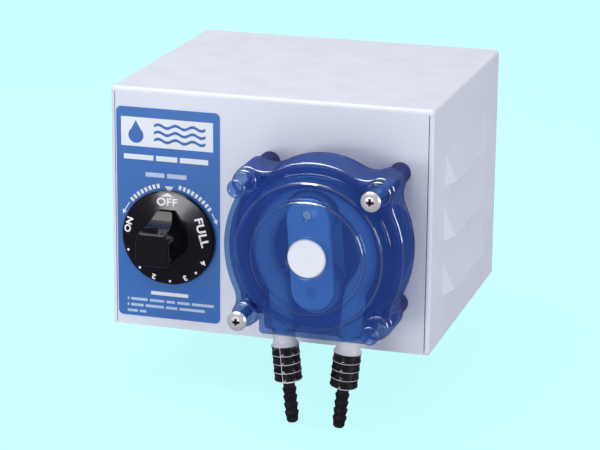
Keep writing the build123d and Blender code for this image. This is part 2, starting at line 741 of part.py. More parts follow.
def head_cover():
    """Front half of the head: rim, drum face with its central hole, and corner bosses."""
    back = PLATE_OUT[1]
    cover = slab(head_outline(), PUMP_AT, back, RIM_OUT)
    rim = [e for e in cover.edges() if e.center().Y < panel(RIM_OUT) + 0.1]
    cover = fillet(rim, 1.0)
    cover += turned(
        [
            (0, back + 1),
            (DRUM_R[0], back + 1),
            (DRUM_R[0], RIM_OUT),
            (DRUM_R[1], DRUM_OUT - 0.6),
            (DRUM_R[1] - 0.8, DRUM_OUT),
            (FACE_R[0], DRUM_OUT),
            (FACE_R[1], FACE_OUT - 0.5),
            (FACE_R[1] - 0.6, FACE_OUT),
            (0, FACE_OUT),
        ],
        PUMP_AT,
    )
    cover -= slab(head_outline(WALL), PUMP_AT, back - 1, RIM_OUT - WALL + 0.2)
    inner = DRUM_R[0] - 2.2
    cover -= turned(
        [
            (0, back - 1),
            (inner, back - 1),
            (inner, RIM_OUT - WALL),
            (DRUM_R[1] - 1.4, DRUM_OUT - 2.3),
            (FACE_R[1] - 1.5, DRUM_OUT - 2.3),
            (FACE_R[1] - 2.0, FACE_OUT - 2.3),
            (0, FACE_OUT - 2.3),
        ],
        PUMP_AT,
    )
    for post in POSTS:
        cover += rod(post, COLLAR_R - 1.2, back, RIM_OUT - 1)
        collar = rod(post, COLLAR_R, RIM_OUT - 3, COLLAR_OUT)
        top = [e for e in collar.edges() if e.center().Y < panel(COLLAR_OUT) + 0.1]
        cover += fillet(top, 1.2)
        end = LOW_BOSS_OUT if post == LOWER_LEFT else BOSS_OUT
        boss = rod(post, BOSS_R, RIM_OUT, end)
        tip = [e for e in boss.edges() if e.center().Y < panel(end) + 0.1]
        cover += fillet(tip, 0.6)
    for post in SCREW_POSTS:
        cover -= rod(post, COVER_SCREW_R + 0.3, back - 1, BOSS_OUT + 1)
    for post in PEG_POSTS:
        cover -= rod(post, BOSS_R - 1.6, BOSS_OUT - 0.8, BOSS_OUT + 1)
    for side in (-1, 1):
        exit_x = PUMP_AT[0] + side * LEG_X
        bottom = PUMP_AT[1] - FLAT_BOTTOM
        half = TUBE_R + 0.3
        cover -= block((exit_x - half, exit_x + half), (back - 1, TUBE_OUT), (bottom - 1, bottom + WALL + 1))
        cover -= leg_cylinder(side, TUBE_R + 0.3, -6, 1)
    cover -= rod(PUMP_AT, HUB_HOLE_R, FACE_OUT - 5, FACE_OUT + 1)
    return cover - rod(around(PUMP_AT, 24.4, 90), 2.6, FACE_OUT - 5, FACE_OUT + 1)


def cover_screws():
    """Two long oval-head screws through the head and the front panel."""
    screws = []
    for post in SCREW_POSTS:
        seat = LOW_BOSS_OUT if post == LOWER_LEFT else BOSS_OUT
        profile = [
            (0, -12.0),
            (COVER_SCREW_R - 0.4, -12.0),
            (COVER_SCREW_R, -11.4),
            (COVER_SCREW_R, seat),
            (COVER_HEAD_R - 0.3, seat),
            (COVER_HEAD_R, seat + 0.9),
            (COVER_HEAD_R - 0.9, seat + 2.1),
            (COVER_HEAD_R - 2.6, seat + 2.9),
            (0, seat + 3.2),
        ]
        screws.append(turned(profile, post) - cross_recess(post, seat + 3.2, 5.2, 2.4))
    return Compound(children=screws)


def head_nuts():
    """Hexagon nuts on the long screws, inside the case."""
    nuts = []
    for post in SCREW_POSTS:
        nut = hexagon(post, 8.0, INSIDE - 4.0, INSIDE)
        nuts.append(nut - rod(post, COVER_SCREW_R, INSIDE - 5, INSIDE + 1))
    return Compound(children=nuts)


# ---- Rotor and rollers ----
def roller_point(side):
    """Centre of a roller; side +1 is the upper one at rest."""
    return around(PUMP_AT, ROLLER_AT, 90 + ROTOR_TILT + (0 if side > 0 else 180))


def rotor_body():
    """White rotor: two bar plates, the hub between them and the nose in the cover's hole."""
    bar = SlotOverall(BAR_LENGTH, BAR_WIDTH, rotation=90 + ROTOR_TILT)
    rear_near, rear_far = PLATE_OUT[1] + 1.5, ROLLER_OUT[0] - 0.8
    front_near, front_far = ROLLER_OUT[1] + 0.5, 48.0
    body = slab(bar, PUMP_AT, rear_near, rear_far) + slab(bar, PUMP_AT, front_near, front_far)
    front = [e for e in body.edges() if e.center().Y < panel(front_far) + 0.1]
    body = fillet(front, 0.8)
    body += rod(PUMP_AT, 6.0, rear_near, front_far)
    nose = turned(
        [
            (0, front_far - 1),
            (HUB_R, front_far - 1),
            (HUB_R, HUB_OUT - 0.5),
            (HUB_R - 0.5, HUB_OUT),
            (0, HUB_OUT),
        ],
        PUMP_AT,
    )
    body += nose
    body -= rod(PUMP_AT, SHAFT_R, rear_near - 1, 46.0)
    for side in (-1, 1):
        body -= rod(roller_point(side), ROLLER_AXLE_R, rear_near + 1, front_far + 1)
    return body - drive_key()


def drive_key():
    """Square key that turns the rotor with the shaft."""
    return spun(block(KEY_X, KEY_OUT, KEY_Z), PUMP_AT, -ROTOR_TILT)


def roller_axles():
    """Steel pins of the two rollers."""
    near = PLATE_OUT[1] + 2.5
    return Compound(children=[rod(roller_point(side), ROLLER_AXLE_R, near, 47.6) for side in (-1, 1)])


def roller(side):
    """One squeeze roller, with rounded rims, free on its axle."""
    drum = rod(roller_point(side), ROLLER_R, *ROLLER_OUT)
    drum = fillet(drum.edges().filter_by(GeomType.CIRCLE), 1.2)
    return drum - rod(roller_point(side), ROLLER_AXLE_R + RUNNING_GAP, ROLLER_OUT[0] - 1, ROLLER_OUT[1] + 1)


# ---- Squeeze tube and fittings ----
def tube_centre_r():
    """Radius of the tube's centreline inside the raceway."""
    return RACEWAY_R - TUBE_R - 0.2


def bend_geometry():
    """Angle from straight down where the tube leaves the raceway, and the bend's centre."""
    tilt = radians(LEG_TILT)
    reach = tube_centre_r() + LEG_BEND_R
    offset = LEG_BEND_R + LEG_X * cos(tilt) + FLAT_BOTTOM * sin(tilt)
    leave = asin(offset / reach) - tilt
    return leave, (reach * sin(leave), -reach * cos(leave))


def flipped(point):
    """A front-view point's reflection in the head's centre line."""
    return (-point[0], point[1])


def squeeze_tube():
    """Tube round the raceway with both legs; bored only where the fittings sit."""
    leave, bend_at = bend_geometry()
    tilt = radians(LEG_TILT)
    loop_r = tube_centre_r()
    on_loop = (loop_r * sin(leave), -loop_r * cos(leave))
    on_leg = (bend_at[0] - LEG_BEND_R * cos(tilt), bend_at[1] + LEG_BEND_R * sin(tilt))
    toward = (on_loop[0] + on_leg[0] - 2 * bend_at[0], on_loop[1] + on_leg[1] - 2 * bend_at[1])
    length = hypot(*toward)
    via = (
        bend_at[0] + LEG_BEND_R * toward[0] / length,
        bend_at[1] + LEG_BEND_R * toward[1] / length,
    )
    down = leg_line(1)[1]
    foot = (LEG_X + down[0] * 7.0, -FLAT_BOTTOM + down[1] * 7.0)
    path = [
        Line(flipped(foot), flipped(on_leg)),
        ThreePointArc(flipped(on_leg), flipped(via), flipped(on_loop)),
        ThreePointArc(flipped(on_loop), (0, loop_r), on_loop),
        ThreePointArc(on_loop, via, on_leg),
        Line(on_leg, foot),
    ]
    plane = Plane(origin=(PUMP_AT[0], panel(TUBE_OUT), PUMP_AT[1]), x_dir=(1, 0, 0), z_dir=(0, -1, 0))
    wire = plane * Wire(path)
    section = Plane(origin=wire @ 0, z_dir=wire % 0) * Circle(TUBE_R)
    tube = sweep(section, path=wire)
    for side in (-1, 1):
        tube += along_leg(
            side,
            [(0, 5.0), (TUBE_R, 5.0), (TUBE_BULGE_R, 9.0), (TUBE_BULGE_R, TUBE_END), (0, TUBE_END)],
        )
        tube -= leg_cylinder(side, BARB_RIDGE_R, 8.0, TUBE_END + 1)
    gap = 0.35
    for side in (-1, 1):
        tube -= rod(roller_point(side), ROLLER_R + gap, ROLLER_OUT[0] - 1, ROLLER_OUT[1] + 1)
    return tube


def hose_fitting(side):
    """Reducing coupling: a large barb inside the squeeze tube, a small one below."""
    profile = [(SPIGOT_BORE_R, 8.3), (BARB_ROOT_R - 0.8, 8.3)]
    for ridge in range(BARB_COUNT):
        foot = 9.3 + ridge * BARB_PITCH
        profile += [
            (BARB_ROOT_R, foot),
            (BARB_RIDGE_R, foot + 3.4),
            (BARB_RIDGE_R, foot + 4.0),
            (BARB_ROOT_R, foot + 4.2),
        ]
    profile += [(SMALL_ROOT_R + 1.0, TUBE_END + 0.8), (SMALL_ROOT_R, TUBE_END + 1.6)]
    for ridge in range(BARB_COUNT):
        foot = TUBE_END + 4.6 + ridge * SMALL_PITCH
        profile += [
            (SMALL_ROOT_R, foot),
            (SMALL_RIDGE_R, foot + 0.5),
            (SMALL_RIDGE_R, foot + 1.0),
            (SMALL_ROOT_R, foot + 3.6),
        ]
    tip = TUBE_END + SPIGOT_LENGTH
    profile += [(SMALL_ROOT_R, tip - 1.0), (SMALL_ROOT_R - 0.8, tip), (SPIGOT_BORE_R, tip)]
    return along_leg(side, profile)


# ---- Gears ----
def gear_face(teeth, module, tooth_angle):
    """Front view of a spur gear with one tooth centred at `tooth_angle` degrees."""
    pitch_r = teeth * module / 2
    base_r = pitch_r * cos(PRESSURE_ANGLE)
    tip_r = pitch_r + 0.9 * module
    root_r = pitch_r - 1.15 * module
    at_pitch = pi / (2 * teeth) - BACKLASH / (2 * pitch_r)
    spread = at_pitch + tan(PRESSURE_ANGLE) - PRESSURE_ANGLE
    start_r = max(base_r, root_r)
    flank = [(root_r, spread)] if root_r < base_r else []
    for step in range(4):
        radius = start_r + (tip_r - start_r) * step / 3
        roll = acos(base_r / radius) if radius > base_r else 0.0
        flank.append((radius, spread - (tan(roll) - roll)))
    points = []
    for tooth in range(teeth):
        centre = radians(tooth_angle) + 2 * pi * tooth / teeth
        for radius, half in flank:
            points.append((radius * cos(centre - half), radius * sin(centre - half)))
        for radius, half in reversed(flank):
            points.append((radius * cos(centre + half), radius * sin(centre + half)))
    return Polygon(*points, align=None)


def depth(inside):
    """Outward distance of a plane that lies `inside` behind the front panel's back."""
    return INSIDE - inside


def gear_slab(teeth, module, tooth_angle, at, deep, shallow):
    """A spur gear between two depths behind the panel."""
    return slab(gear_face(teeth, module, tooth_angle), at, depth(deep), depth(shallow))


def lightened(gear, at, hub_r, rim_r, deep, shallow, count):
    """The gear with round lightening holes between its hub and rim."""
    middle = (hub_r + rim_r) / 2
    hole = (rim_r - hub_r) / 2 - 1.0
    for step in range(count):
        gear -= rod(around(at, middle, step * 360 / count + 30), hole, depth(deep + 1), depth(shallow - 1))
    return gear


def output_gear():
    """Large gear fixed on the output shaft."""
    at = PUMP_AT
    gear = gear_slab(GEAR_TEETH, STAGE_MODULES[0], OUTPUT_GEAR_ANGLE, at, 12, 4)
    gear = lightened(gear, at, 7.5, 16.5, 12, 4, 6)
    gear += rod(at, 7.5, depth(18), depth(3.2))
    return gear - rod(at, SHAFT_R, depth(19), depth(2))


def second_gear():
    """Compound gear that drives the output gear."""
    at = SECOND_AXLE
    gear = gear_slab(GEAR_TEETH, STAGE_MODULES[1], SECOND_GEAR_ANGLE, at, 16.5, 12.5)
    gear = lightened(gear, at, 6.0, 13.0, 16.5, 12.5, 5)
    gear += gear_slab(PINION_TEETH, STAGE_MODULES[0], SECOND_PINION_ANGLE, at, 12.5, 3.6)
    gear += rod(at, 4.0, depth(24.6), depth(2.9))
    return gear - rod(at, AXLE_R + RUNNING_GAP, depth(26), depth(2))


def first_gear():
    """Compound gear driven by the motor pinion."""
    at = FIRST_AXLE
    gear = gear_slab(GEAR_TEETH, STAGE_MODULES[2], FIRST_GEAR_ANGLE, at, 20.5, 17)
    gear = lightened(gear, at, 5.0, 10.5, 20.5, 17, 5)
    gear += gear_slab(PINION_TEETH, STAGE_MODULES[1], FIRST_PINION_ANGLE, at, 17, 12.2)
    gear += rod(at, 3.6, depth(24.6), depth(2.9))
    return gear - rod(at, AXLE_R + RUNNING_GAP, depth(26), depth(2))


def motor_pinion():
    """Small gear on the motor shaft."""
    gear = gear_slab(PINION_TEETH, STAGE_MODULES[2], MOTOR_PINION_ANGLE, MOTOR_AT, 21.5, 16.6)
    return gear - rod(MOTOR_AT, MOTOR_SHAFT_R, depth(23), depth(16))


def idler_axles():
    """Fixed steel pins of the two compound gears."""
    return Compound(children=[rod(at, AXLE_R, depth(26.5), depth(1.2)) for at in (SECOND_AXLE, FIRST_AXLE)])


def output_shaft():
    """Steel shaft from the gearbox's rear bush to the rotor's hub."""
    shaft = rod(PUMP_AT, SHAFT_R, depth(31), 46.0)
    return shaft - drive_key()


# ---- Gearbox ----
def gearbox_screw_points():
    """Centres of the four screws that hold the gearbox behind the panel."""
    reach = 28.0
    return [(PUMP_AT[0] + sx * reach, PUMP_AT[1] + sz * reach) for sx in (-1, 1) for sz in (-1, 1)]


def cover_corner_points():
    """Centres of the gearbox cover's screws."""
    inset = 5.0
    xs = (GEARBOX_X[0] + inset, GEARBOX_X[1] - inset)
    zs = (GEARBOX_Z[0] + inset, GEARBOX_Z[1] - inset)
    return [(x, z) for x in xs for z in zs]


def gearbox_outline(inset, corner):
    """Rounded rectangle of the gearbox in the front view, with its centre."""
    width = GEARBOX_X[1] - GEARBOX_X[0] - 2 * inset
    height = GEARBOX_Z[1] - GEARBOX_Z[0] - 2 * inset
    return RectangleRounded(width, height, corner), (sum(GEARBOX_X) / 2, sum(GEARBOX_Z) / 2)


def gearbox_case():
    """Die-cast tub, open at the back, with bosses for axles, bush and screws."""
    face, middle = gearbox_outline(0, 6)
    tub = slab(face, middle, depth(GEARBOX_DEPTH), INSIDE)
    hollow, middle = gearbox_outline(GEARBOX_WALL, 4)
    tub -= slab(hollow, middle, depth(GEARBOX_DEPTH + 1), depth(2.5))
    for at in cover_corner_points():
        tub += rod(at, 4.4, depth(GEARBOX_DEPTH), depth(1))
    for at in gearbox_screw_points():
        tub += rod(at, 4.0, depth(10), depth(1))
        tub -= rod(at, 1.9, depth(9), 1)
    tub += rod(PUMP_AT, 8.6, depth(2.9), 2.8)
    for at in cover_corner_points():
        tub -= rod(at, 1.6, depth(GEARBOX_DEPTH + 1), depth(14))
    for at in (SECOND_AXLE, FIRST_AXLE):
        tub -= rod(at, AXLE_R, depth(4), depth(1.2))
    return tub - rod(PUMP_AT, BUSH_R, depth(4), 4)


def gearbox_cover():
    """Back plate of the gearbox; it carries the motor."""
    face, middle = gearbox_outline(0, 6)
    back = GEARBOX_DEPTH + COVER_DEPTH
    cover = slab(face, middle, depth(back), depth(GEARBOX_DEPTH))
    cover += rod(PUMP_AT, 8.6, depth(back + 3), depth(GEARBOX_DEPTH - 2))
    cover -= rod(PUMP_AT, BUSH_R, depth(back + 4), depth(GEARBOX_DEPTH - 3))
    for at in cover_corner_points():
        cover -= rod(at, 2.0, depth(back + 1), depth(GEARBOX_DEPTH - 1))
    for at in (SECOND_AXLE, FIRST_AXLE):
        cover -= rod(at, AXLE_R, depth(26.5), depth(GEARBOX_DEPTH - 1))
    for at in motor_screw_points():
        cover -= rod(at, MOTOR_SCREW_R, depth(back + 1), depth(GEARBOX_DEPTH - 1))
    return cover - rod(MOTOR_AT, 6.5, depth(back + 1), depth(GEARBOX_DEPTH - 1))


def output_bushes():
    """Sintered bronze bushes at the front and back of the output shaft."""
    bushes = []
    for deep, shallow in ((2.9, -4.0), (31.0, 23.0)):
        bush = rod(PUMP_AT, BUSH_R, depth(deep), depth(shallow))
        bushes.append(bush - rod(PUMP_AT, SHAFT_R + RUNNING_GAP, depth(deep + 1), depth(shallow - 1)))
    return Compound(children=bushes)


def gearbox_screws():
    """Four screws through the front panel, hidden behind the head."""
    return Compound(
        children=[pan_head_screw(at, 3.6, 1.9, 0, depth(8.5), 2.2) for at in gearbox_screw_points()]
    )


def gearbox_cover_screws():
    """Four screws that close the gearbox."""
    back = depth(GEARBOX_DEPTH + COVER_DEPTH)
    screw = pan_head_screw((0, 0), 3.2, 1.6, 0, -13, 2.0)
    reversed_screw = Rot(0, 0, 180) * (Pos(0, -FRONT_Y, 0) * screw)
    return Compound(children=[Pos(x, panel(back), z) * reversed_screw for x, z in cover_corner_points()])


# ---- Motor ----
def motor_screw_points():
    """Centres of the motor's four through screws."""
    x, z = MOTOR_AT
    return [(x + sx * 20, z + dz) for sx in (-1, 1) for dz in (16.5, -40.0)]


def stator_core():
    """Laminated C-frame: rotor bore at the top, wound yoke at the bottom."""
    x, z = MOTOR_AT
    near, far = depth(STACK_DEPTHS[1]), depth(STACK_DEPTHS[0])
    core = block((x - STACK_HALF, x + STACK_HALF), (near, far), (z + STACK_BOTTOM, z + STACK_TOP))
    core = fillet(core.edges().filter_by(Axis.Y), 2.0)
    window = (z - 20.0, z + YOKE_Z[1])
    core -= block((x - 14, x + 14), (near - 1, far + 1), window)
    core -= rod(MOTOR_AT, MOTOR_ROTOR_R + AIR_GAP, near - 1, far + 1)
    for at in motor_screw_points():
        core -= rod(at, MOTOR_SCREW_R, near - 1, far + 1)
    lines = int((STACK_DEPTHS[1] - STACK_DEPTHS[0]) / 3)
    for step in range(1, lines):
        level = near + step * 3
        groove = block(
            (x - STACK_HALF - 1, x + STACK_HALF + 1),
            (level, level + 0.3),
            (z + STACK_BOTTOM - 1, z + STACK_TOP + 1),
        )
        groove -= block(
            (x - STACK_HALF + 0.4, x + STACK_HALF - 0.4),
            (level - 1, level + 1),
            (z + STACK_BOTTOM + 0.4, z + STACK_TOP - 0.4),
        )
        core -= groove
    return core


def coil_ring(half_length, margin_in, margin_out):
    """A rectangular winding shape round the yoke."""
    x, z = MOTOR_AT
    near, far = depth(STACK_DEPTHS[1]), depth(STACK_DEPTHS[0])
    low, high = z + YOKE_Z[0], z + YOKE_Z[1]
    outer = block(
        (x - half_length, x + half_length),
        (near - margin_out, far + margin_out),
        (low - margin_out, high + margin_out),
    )
    outer = fillet(outer.edges().filter_by(Axis.X), margin_out * 0.4)
    return outer - block(
        (x - half_length - 1, x + half_length + 1),
        (near - margin_in, far + margin_in),
        (low - margin_in, high + margin_in),
    )


def coil_bobbin():
    """Moulded bobbin: a sleeve round the yoke with a flange at each end."""
    x = MOTOR_AT[0]
    bobbin = coil_ring(COIL_HALF, 0.3, 1.5)
    for side in (-1, 1):
        flange = Pos(side * (COIL_HALF - 0.75), 0, 0) * coil_ring(0.75, 0.3, 12.5)
        bobbin += flange
    return bobbin


def coil_winding():
    """Copper winding, taped, between the bobbin's flanges."""
    return coil_ring(COIL_HALF - 1.5, 1.5, 11.0)


def motor_rotor():
    """Squirrel-cage rotor: core with an end ring on each side."""
    near, far = depth(STACK_DEPTHS[1]), depth(STACK_DEPTHS[0])
    core = rod(MOTOR_AT, MOTOR_ROTOR_R, near, far)
    core += rod(MOTOR_AT, MOTOR_ROTOR_R - 0.8, near - 2, far + 2)
    for step in range(12):
        bar = around(MOTOR_AT, MOTOR_ROTOR_R, step * 30)
        core -= rod(bar, 0.5, near - 3, far + 3)
    return core - rod(MOTOR_AT, MOTOR_SHAFT_R, near - 3, far + 3)


def motor_shaft():
    """Ground steel shaft that carries the pinion, rotor and fan."""
    return rod(MOTOR_AT, MOTOR_SHAFT_R, depth(85), depth(15.6))


def bearing_bracket(face_depth, step):
    """Pressed bracket on one side of the stack, bulged to hold a sleeve bearing."""
    x, z = MOTOR_AT
    inner, outer = depth(face_depth), depth(face_depth + step * 1.6)
    plate = block((x - 25, x + 25), (inner, outer), (z - 9, z + 21.5))
    plate = fillet(plate.edges().filter_by(Axis.Y), 4.0)
    plate -= rod(MOTOR_AT, 11.5, inner + 3, inner - 3)
    cup_out = depth(face_depth + step * 10)
    cup = rod(MOTOR_AT, 13.0, inner, cup_out) - rod(MOTOR_AT, 11.5, inner, depth(face_depth + step * 5))
    for at in motor_screw_points():
        plate -= rod(at, MOTOR_SCREW_R, inner + 3, inner - 3)
    return plate + cup - rod(MOTOR_AT, SLEEVE_R, inner, depth(face_depth + step * 11))


def motor_bearings():
    """Two sintered sleeve bearings."""
    sleeves = []
    for low in (STACK_DEPTHS[0] - 10, STACK_DEPTHS[1] + 5):
        high = low + 5
        sleeve = rod(MOTOR_AT, SLEEVE_R, depth(high), depth(low))
        sleeves.append(sleeve - rod(MOTOR_AT, MOTOR_SHAFT_R + RUNNING_GAP, depth(high + 1), depth(low - 1)))
    return Compound(children=sleeves)


def motor_standoffs():
    """Tubes that hold the stack off the gearbox cover."""
    tubes = []
    cover_back = GEARBOX_DEPTH + COVER_DEPTH
    for at in motor_screw_points():
        upper = at[1] > MOTOR_AT[1]
        end = STACK_DEPTHS[0] - (1.6 if upper else 0)
        tube = rod(at, 3.6, depth(end), depth(cover_back))
        tubes.append(tube - rod(at, MOTOR_SCREW_R, depth(end + 1), depth(cover_back - 1)))
    return Compound(children=tubes)


def motor_screws():
    """Long screws through the stack into the gearbox cover."""
    screws = []
    for at in motor_screw_points():
        upper = at[1] > MOTOR_AT[1]
        seat = depth(STACK_DEPTHS[1] + (1.6 if upper else 0))
        shank = rod(at, MOTOR_SCREW_R, seat, depth(GEARBOX_DEPTH + 0.2))
        screws.append(shank + hexagon(at, 7.0, seat - 2.8, seat))
    return Compound(children=screws)


def cooling_fan():
    """Five-bladed fan pushed on the shaft's rear end."""
    fan = rod(MOTOR_AT, 5.0, depth(84), depth(74))
    centre = Pos(MOTOR_AT[0], panel(depth(79)), MOTOR_AT[1])
    blade = Pos(13.5, 0, 0) * Rot(40, 0, 0) * Box(19, 1.4, 11)
    for step in range(FAN_BLADES):
        fan += centre * Rot(0, step * 360 / FAN_BLADES, 0) * blade
    return fan - rod(MOTOR_AT, MOTOR_SHAFT_R, depth(86), depth(72))


NODES = {
    "case_shell": case_shell,
    "base_plate": base_plate,
    "case_screws": case_screws,
    "wall_bracket": wall_bracket,
    "bracket_lock_screw": bracket_lock_screw,
    "cable_gland": cable_gland,
    "gland_nut": gland_nut,
    "terminal_block": terminal_block,
    "front_label": front_label,
    "control_knob": control_knob,
    "knob_insert": knob_insert,
    "control_housing": control_housing,
    "control_lid": control_lid,
    "control_shaft": control_shaft,
    "control_cam": control_cam,
    "control_contacts": control_contacts,
    "control_terminals": control_terminals,
    "control_nut": control_nut,
    "head_housing": head_housing,
    "head_cover": head_cover,
    "cover_screws": cover_screws,
    "head_nuts": head_nuts,
    "rotor_body": rotor_body,
    "drive_key": drive_key,
    "roller_axles": roller_axles,
    "upper_roller": lambda: roller(1),
    "lower_roller": lambda: roller(-1),
    "squeeze_tube": squeeze_tube,
    "inlet_fitting": lambda: hose_fitting(-1),
    "outlet_fitting": lambda: hose_fitting(1),
    "output_shaft": output_shaft,
    "output_gear": output_gear,
    "output_bushes": output_bushes,
    "second_gear": second_gear,
    "first_gear": first_gear,
    "idler_axles": idler_axles,
    "gearbox_case": gearbox_case,
    "gearbox_cover": gearbox_cover,
    "gearbox_screws": gearbox_screws,
    "gearbox_cover_screws": gearbox_cover_screws,
    "motor_pinion": motor_pinion,
    "motor_shaft": motor_shaft,
    "motor_rotor": motor_rotor,
    "stator_core": stator_core,
    "coil_bobbin": coil_bobbin,
    "coil_winding": coil_winding,
    "front_motor_bracket": lambda: bearing_bracket(STACK_DEPTHS[0], -1),
    "rear_motor_bracket": lambda: bearing_bracket(STACK_DEPTHS[1], 1),
    "motor_bearings": motor_bearings,
    "motor_standoffs": motor_standoffs,
    "motor_screws": motor_screws,
    "cooling_fan": cooling_fan,
}

os.makedirs("parts", exist_ok=True)
for node_name, make in NODES.items():
    save(node_name, make())
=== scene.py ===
import json
import math
from collections import namedtuple

import bmesh
import bpy
from mathutils import Matrix, Vector


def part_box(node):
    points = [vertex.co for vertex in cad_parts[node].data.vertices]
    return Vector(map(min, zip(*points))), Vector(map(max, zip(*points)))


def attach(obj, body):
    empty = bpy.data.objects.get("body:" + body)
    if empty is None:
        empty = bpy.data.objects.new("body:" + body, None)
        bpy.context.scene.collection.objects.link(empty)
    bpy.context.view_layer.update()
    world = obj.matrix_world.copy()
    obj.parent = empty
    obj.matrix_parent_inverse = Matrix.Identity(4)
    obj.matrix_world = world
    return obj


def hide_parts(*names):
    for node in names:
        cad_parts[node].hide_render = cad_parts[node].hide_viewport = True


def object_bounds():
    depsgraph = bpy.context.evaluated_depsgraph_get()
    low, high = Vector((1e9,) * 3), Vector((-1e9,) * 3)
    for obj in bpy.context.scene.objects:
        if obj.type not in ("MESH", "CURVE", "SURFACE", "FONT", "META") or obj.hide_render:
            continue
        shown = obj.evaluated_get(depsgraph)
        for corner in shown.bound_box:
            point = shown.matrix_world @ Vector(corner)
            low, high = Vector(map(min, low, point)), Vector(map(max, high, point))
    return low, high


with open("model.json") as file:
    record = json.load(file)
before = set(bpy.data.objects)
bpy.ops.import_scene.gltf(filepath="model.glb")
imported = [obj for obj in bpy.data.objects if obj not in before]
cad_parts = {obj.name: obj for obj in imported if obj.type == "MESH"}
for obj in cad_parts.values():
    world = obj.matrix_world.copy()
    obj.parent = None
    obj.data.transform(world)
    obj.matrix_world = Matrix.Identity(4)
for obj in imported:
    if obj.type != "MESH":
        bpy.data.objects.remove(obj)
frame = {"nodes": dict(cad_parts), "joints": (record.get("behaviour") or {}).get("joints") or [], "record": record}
cad_low, cad_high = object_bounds()
nodes = frame["nodes"]
MM = 0.001

# ---- Places taken from the frame ----
label_low, label_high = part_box("front_label")
knob_low, knob_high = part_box("control_knob")
joints = {j["name"]: j for j in frame["joints"]}
KNOB_X = (knob_low.x + knob_high.x) / 2 / MM
KNOB_Z = (knob_low.z + knob_high.z) / 2 / MM
PUMP_X = joints["pump_spin"]["pos_m"][0] / MM
PUMP_Z = joints["pump_spin"]["pos_m"][2] / MM
LABEL_FACE = label_low.y / MM
PANEL_FACE = label_high.y / MM

# ---- Dimensions repeated from the CAD source, in millimetres ----
SKIRT_RIM_R, SKIRT_RIM_OUT = 27.2, 3.5
SKIRT_TOP_R, SKIRT_TOP_OUT = 13.0, 5.3
TUBE_OUT = 33.0
TUBE_R, TUBE_WALL = 6.3, 1.55
TUBE_END = 28.5
LEG_X, LEG_TILT = 19.0, math.radians(6.0)
LEG_BEND_R = 14.0
FLAT_BOTTOM = 50.0
RACEWAY_R = 37.5
ROLLER_AT, ROLLER_R, ROTOR_TILT = 21.0, 13.5, 4.0
ROLLER_GAP = 0.35
BARB_START, BARB_PITCH = 9.3, 5.0
BARB_ROOT_R, BARB_RIDGE_R = 5.6, 6.5


# ---- Camera: metres, degrees, and a lens in millimetres ----
CAMERA_AT = Vector((0.38747, -1.40256, 0.36302))
CAMERA_YAW, CAMERA_PITCH, CAMERA_ROLL = (math.radians(a) for a in (16.7226, 16.4031, -0.4966))
CAMERA_LENS, CAMERA_SENSOR = 141.918, 36.0
CAMERA_NEAR, CAMERA_FAR = 0.05, 60.0


def add_camera():
    """The camera, at the photograph's place and angle."""
    forward = Vector(
        (
            -math.sin(CAMERA_YAW) * math.cos(CAMERA_PITCH),
            math.cos(CAMERA_YAW) * math.cos(CAMERA_PITCH),
            -math.sin(CAMERA_PITCH),
        )
    )
    level = Vector((math.cos(CAMERA_YAW), math.sin(CAMERA_YAW), 0))
    down = -level.cross(forward)
    c, s = math.cos(CAMERA_ROLL), math.sin(CAMERA_ROLL)
    right = c * level + s * down
    low = -s * level + c * down
    turn = Matrix((right, -low, -forward)).transposed().to_4x4()
    data = bpy.data.cameras.new("camera")
    data.lens, data.sensor_width = CAMERA_LENS, CAMERA_SENSOR
    data.clip_start, data.clip_end = CAMERA_NEAR, CAMERA_FAR
    camera = bpy.data.objects.new("camera", data)
    bpy.context.scene.collection.objects.link(camera)
    camera.matrix_world = Matrix.Translation(CAMERA_AT) @ turn
    bpy.context.scene.camera = camera


# ---- Materials ----
# The clear plastics: softness of the head's edges in millimetres, and the gloss on it.
EDGE_SOFTNESS = 0.5
EDGE_GLOSS = 0.5
PLASTIC_ROUGH = 0.06
PLASTIC_IOR = 1.55
SOFT_PLASTIC_IOR = 1.42
MIRROR_LIMIT = 0.075
EDGE_DYE = 0.45
# Where a surface's normal, along Y, starts and ends being turned away or facing the front.
TURNED_AWAY = (-0.42, -0.60)
FACING_FRONT = (-0.90, -0.985)


def new_material(name):
    """A material whose node tree holds nothing but its output."""
    material = bpy.data.materials.new(name)
    material.use_nodes = True
    tree = material.node_tree
    tree.nodes.clear()
    out = tree.nodes.new("ShaderNodeOutputMaterial")
    return material, tree, out


def noise_value(tree, scale, detail=3.0, stretch=(1, 1, 1), low=0.0, high=1.0):
    """Noise over the object's own coordinates, spread between low and high."""
    coords = tree.nodes.new("ShaderNodeTexCoord")
    mapping = tree.nodes.new("ShaderNodeMapping")
    mapping.inputs["Scale"].default_value = stretch
    noise = tree.nodes.new("ShaderNodeTexNoise")
    noise.inputs["Scale"].default_value = scale
    noise.inputs["Detail"].default_value = detail
    spread = tree.nodes.new("ShaderNodeMapRange")
    spread.inputs["From Min"].default_value = 0.3
    spread.inputs["From Max"].default_value = 0.7
    spread.inputs["To Min"].default_value = low
    spread.inputs["To Max"].default_value = high
    tree.links.new(coords.outputs["Object"], mapping.inputs["Vector"])
    tree.links.new(mapping.outputs["Vector"], noise.inputs["Vector"])
    tree.links.new(noise.outputs["Fac"], spread.inputs["Value"])
    return spread.outputs["Result"]


def mixed_colour(tree, factor, first, second):
    """A colour between two, chosen by factor."""
    mix = tree.nodes.new("ShaderNodeMix")
    mix.data_type = "RGBA"
    mix.inputs["A"].default_value = (*first, 1)
    mix.inputs["B"].default_value = (*second, 1)
    tree.links.new(factor, mix.inputs["Factor"])
    return mix.outputs["Result"]


def scaled(colour, factor):
    """The colour made darker or lighter."""
    return tuple(min(1.0, c * factor) for c in colour)


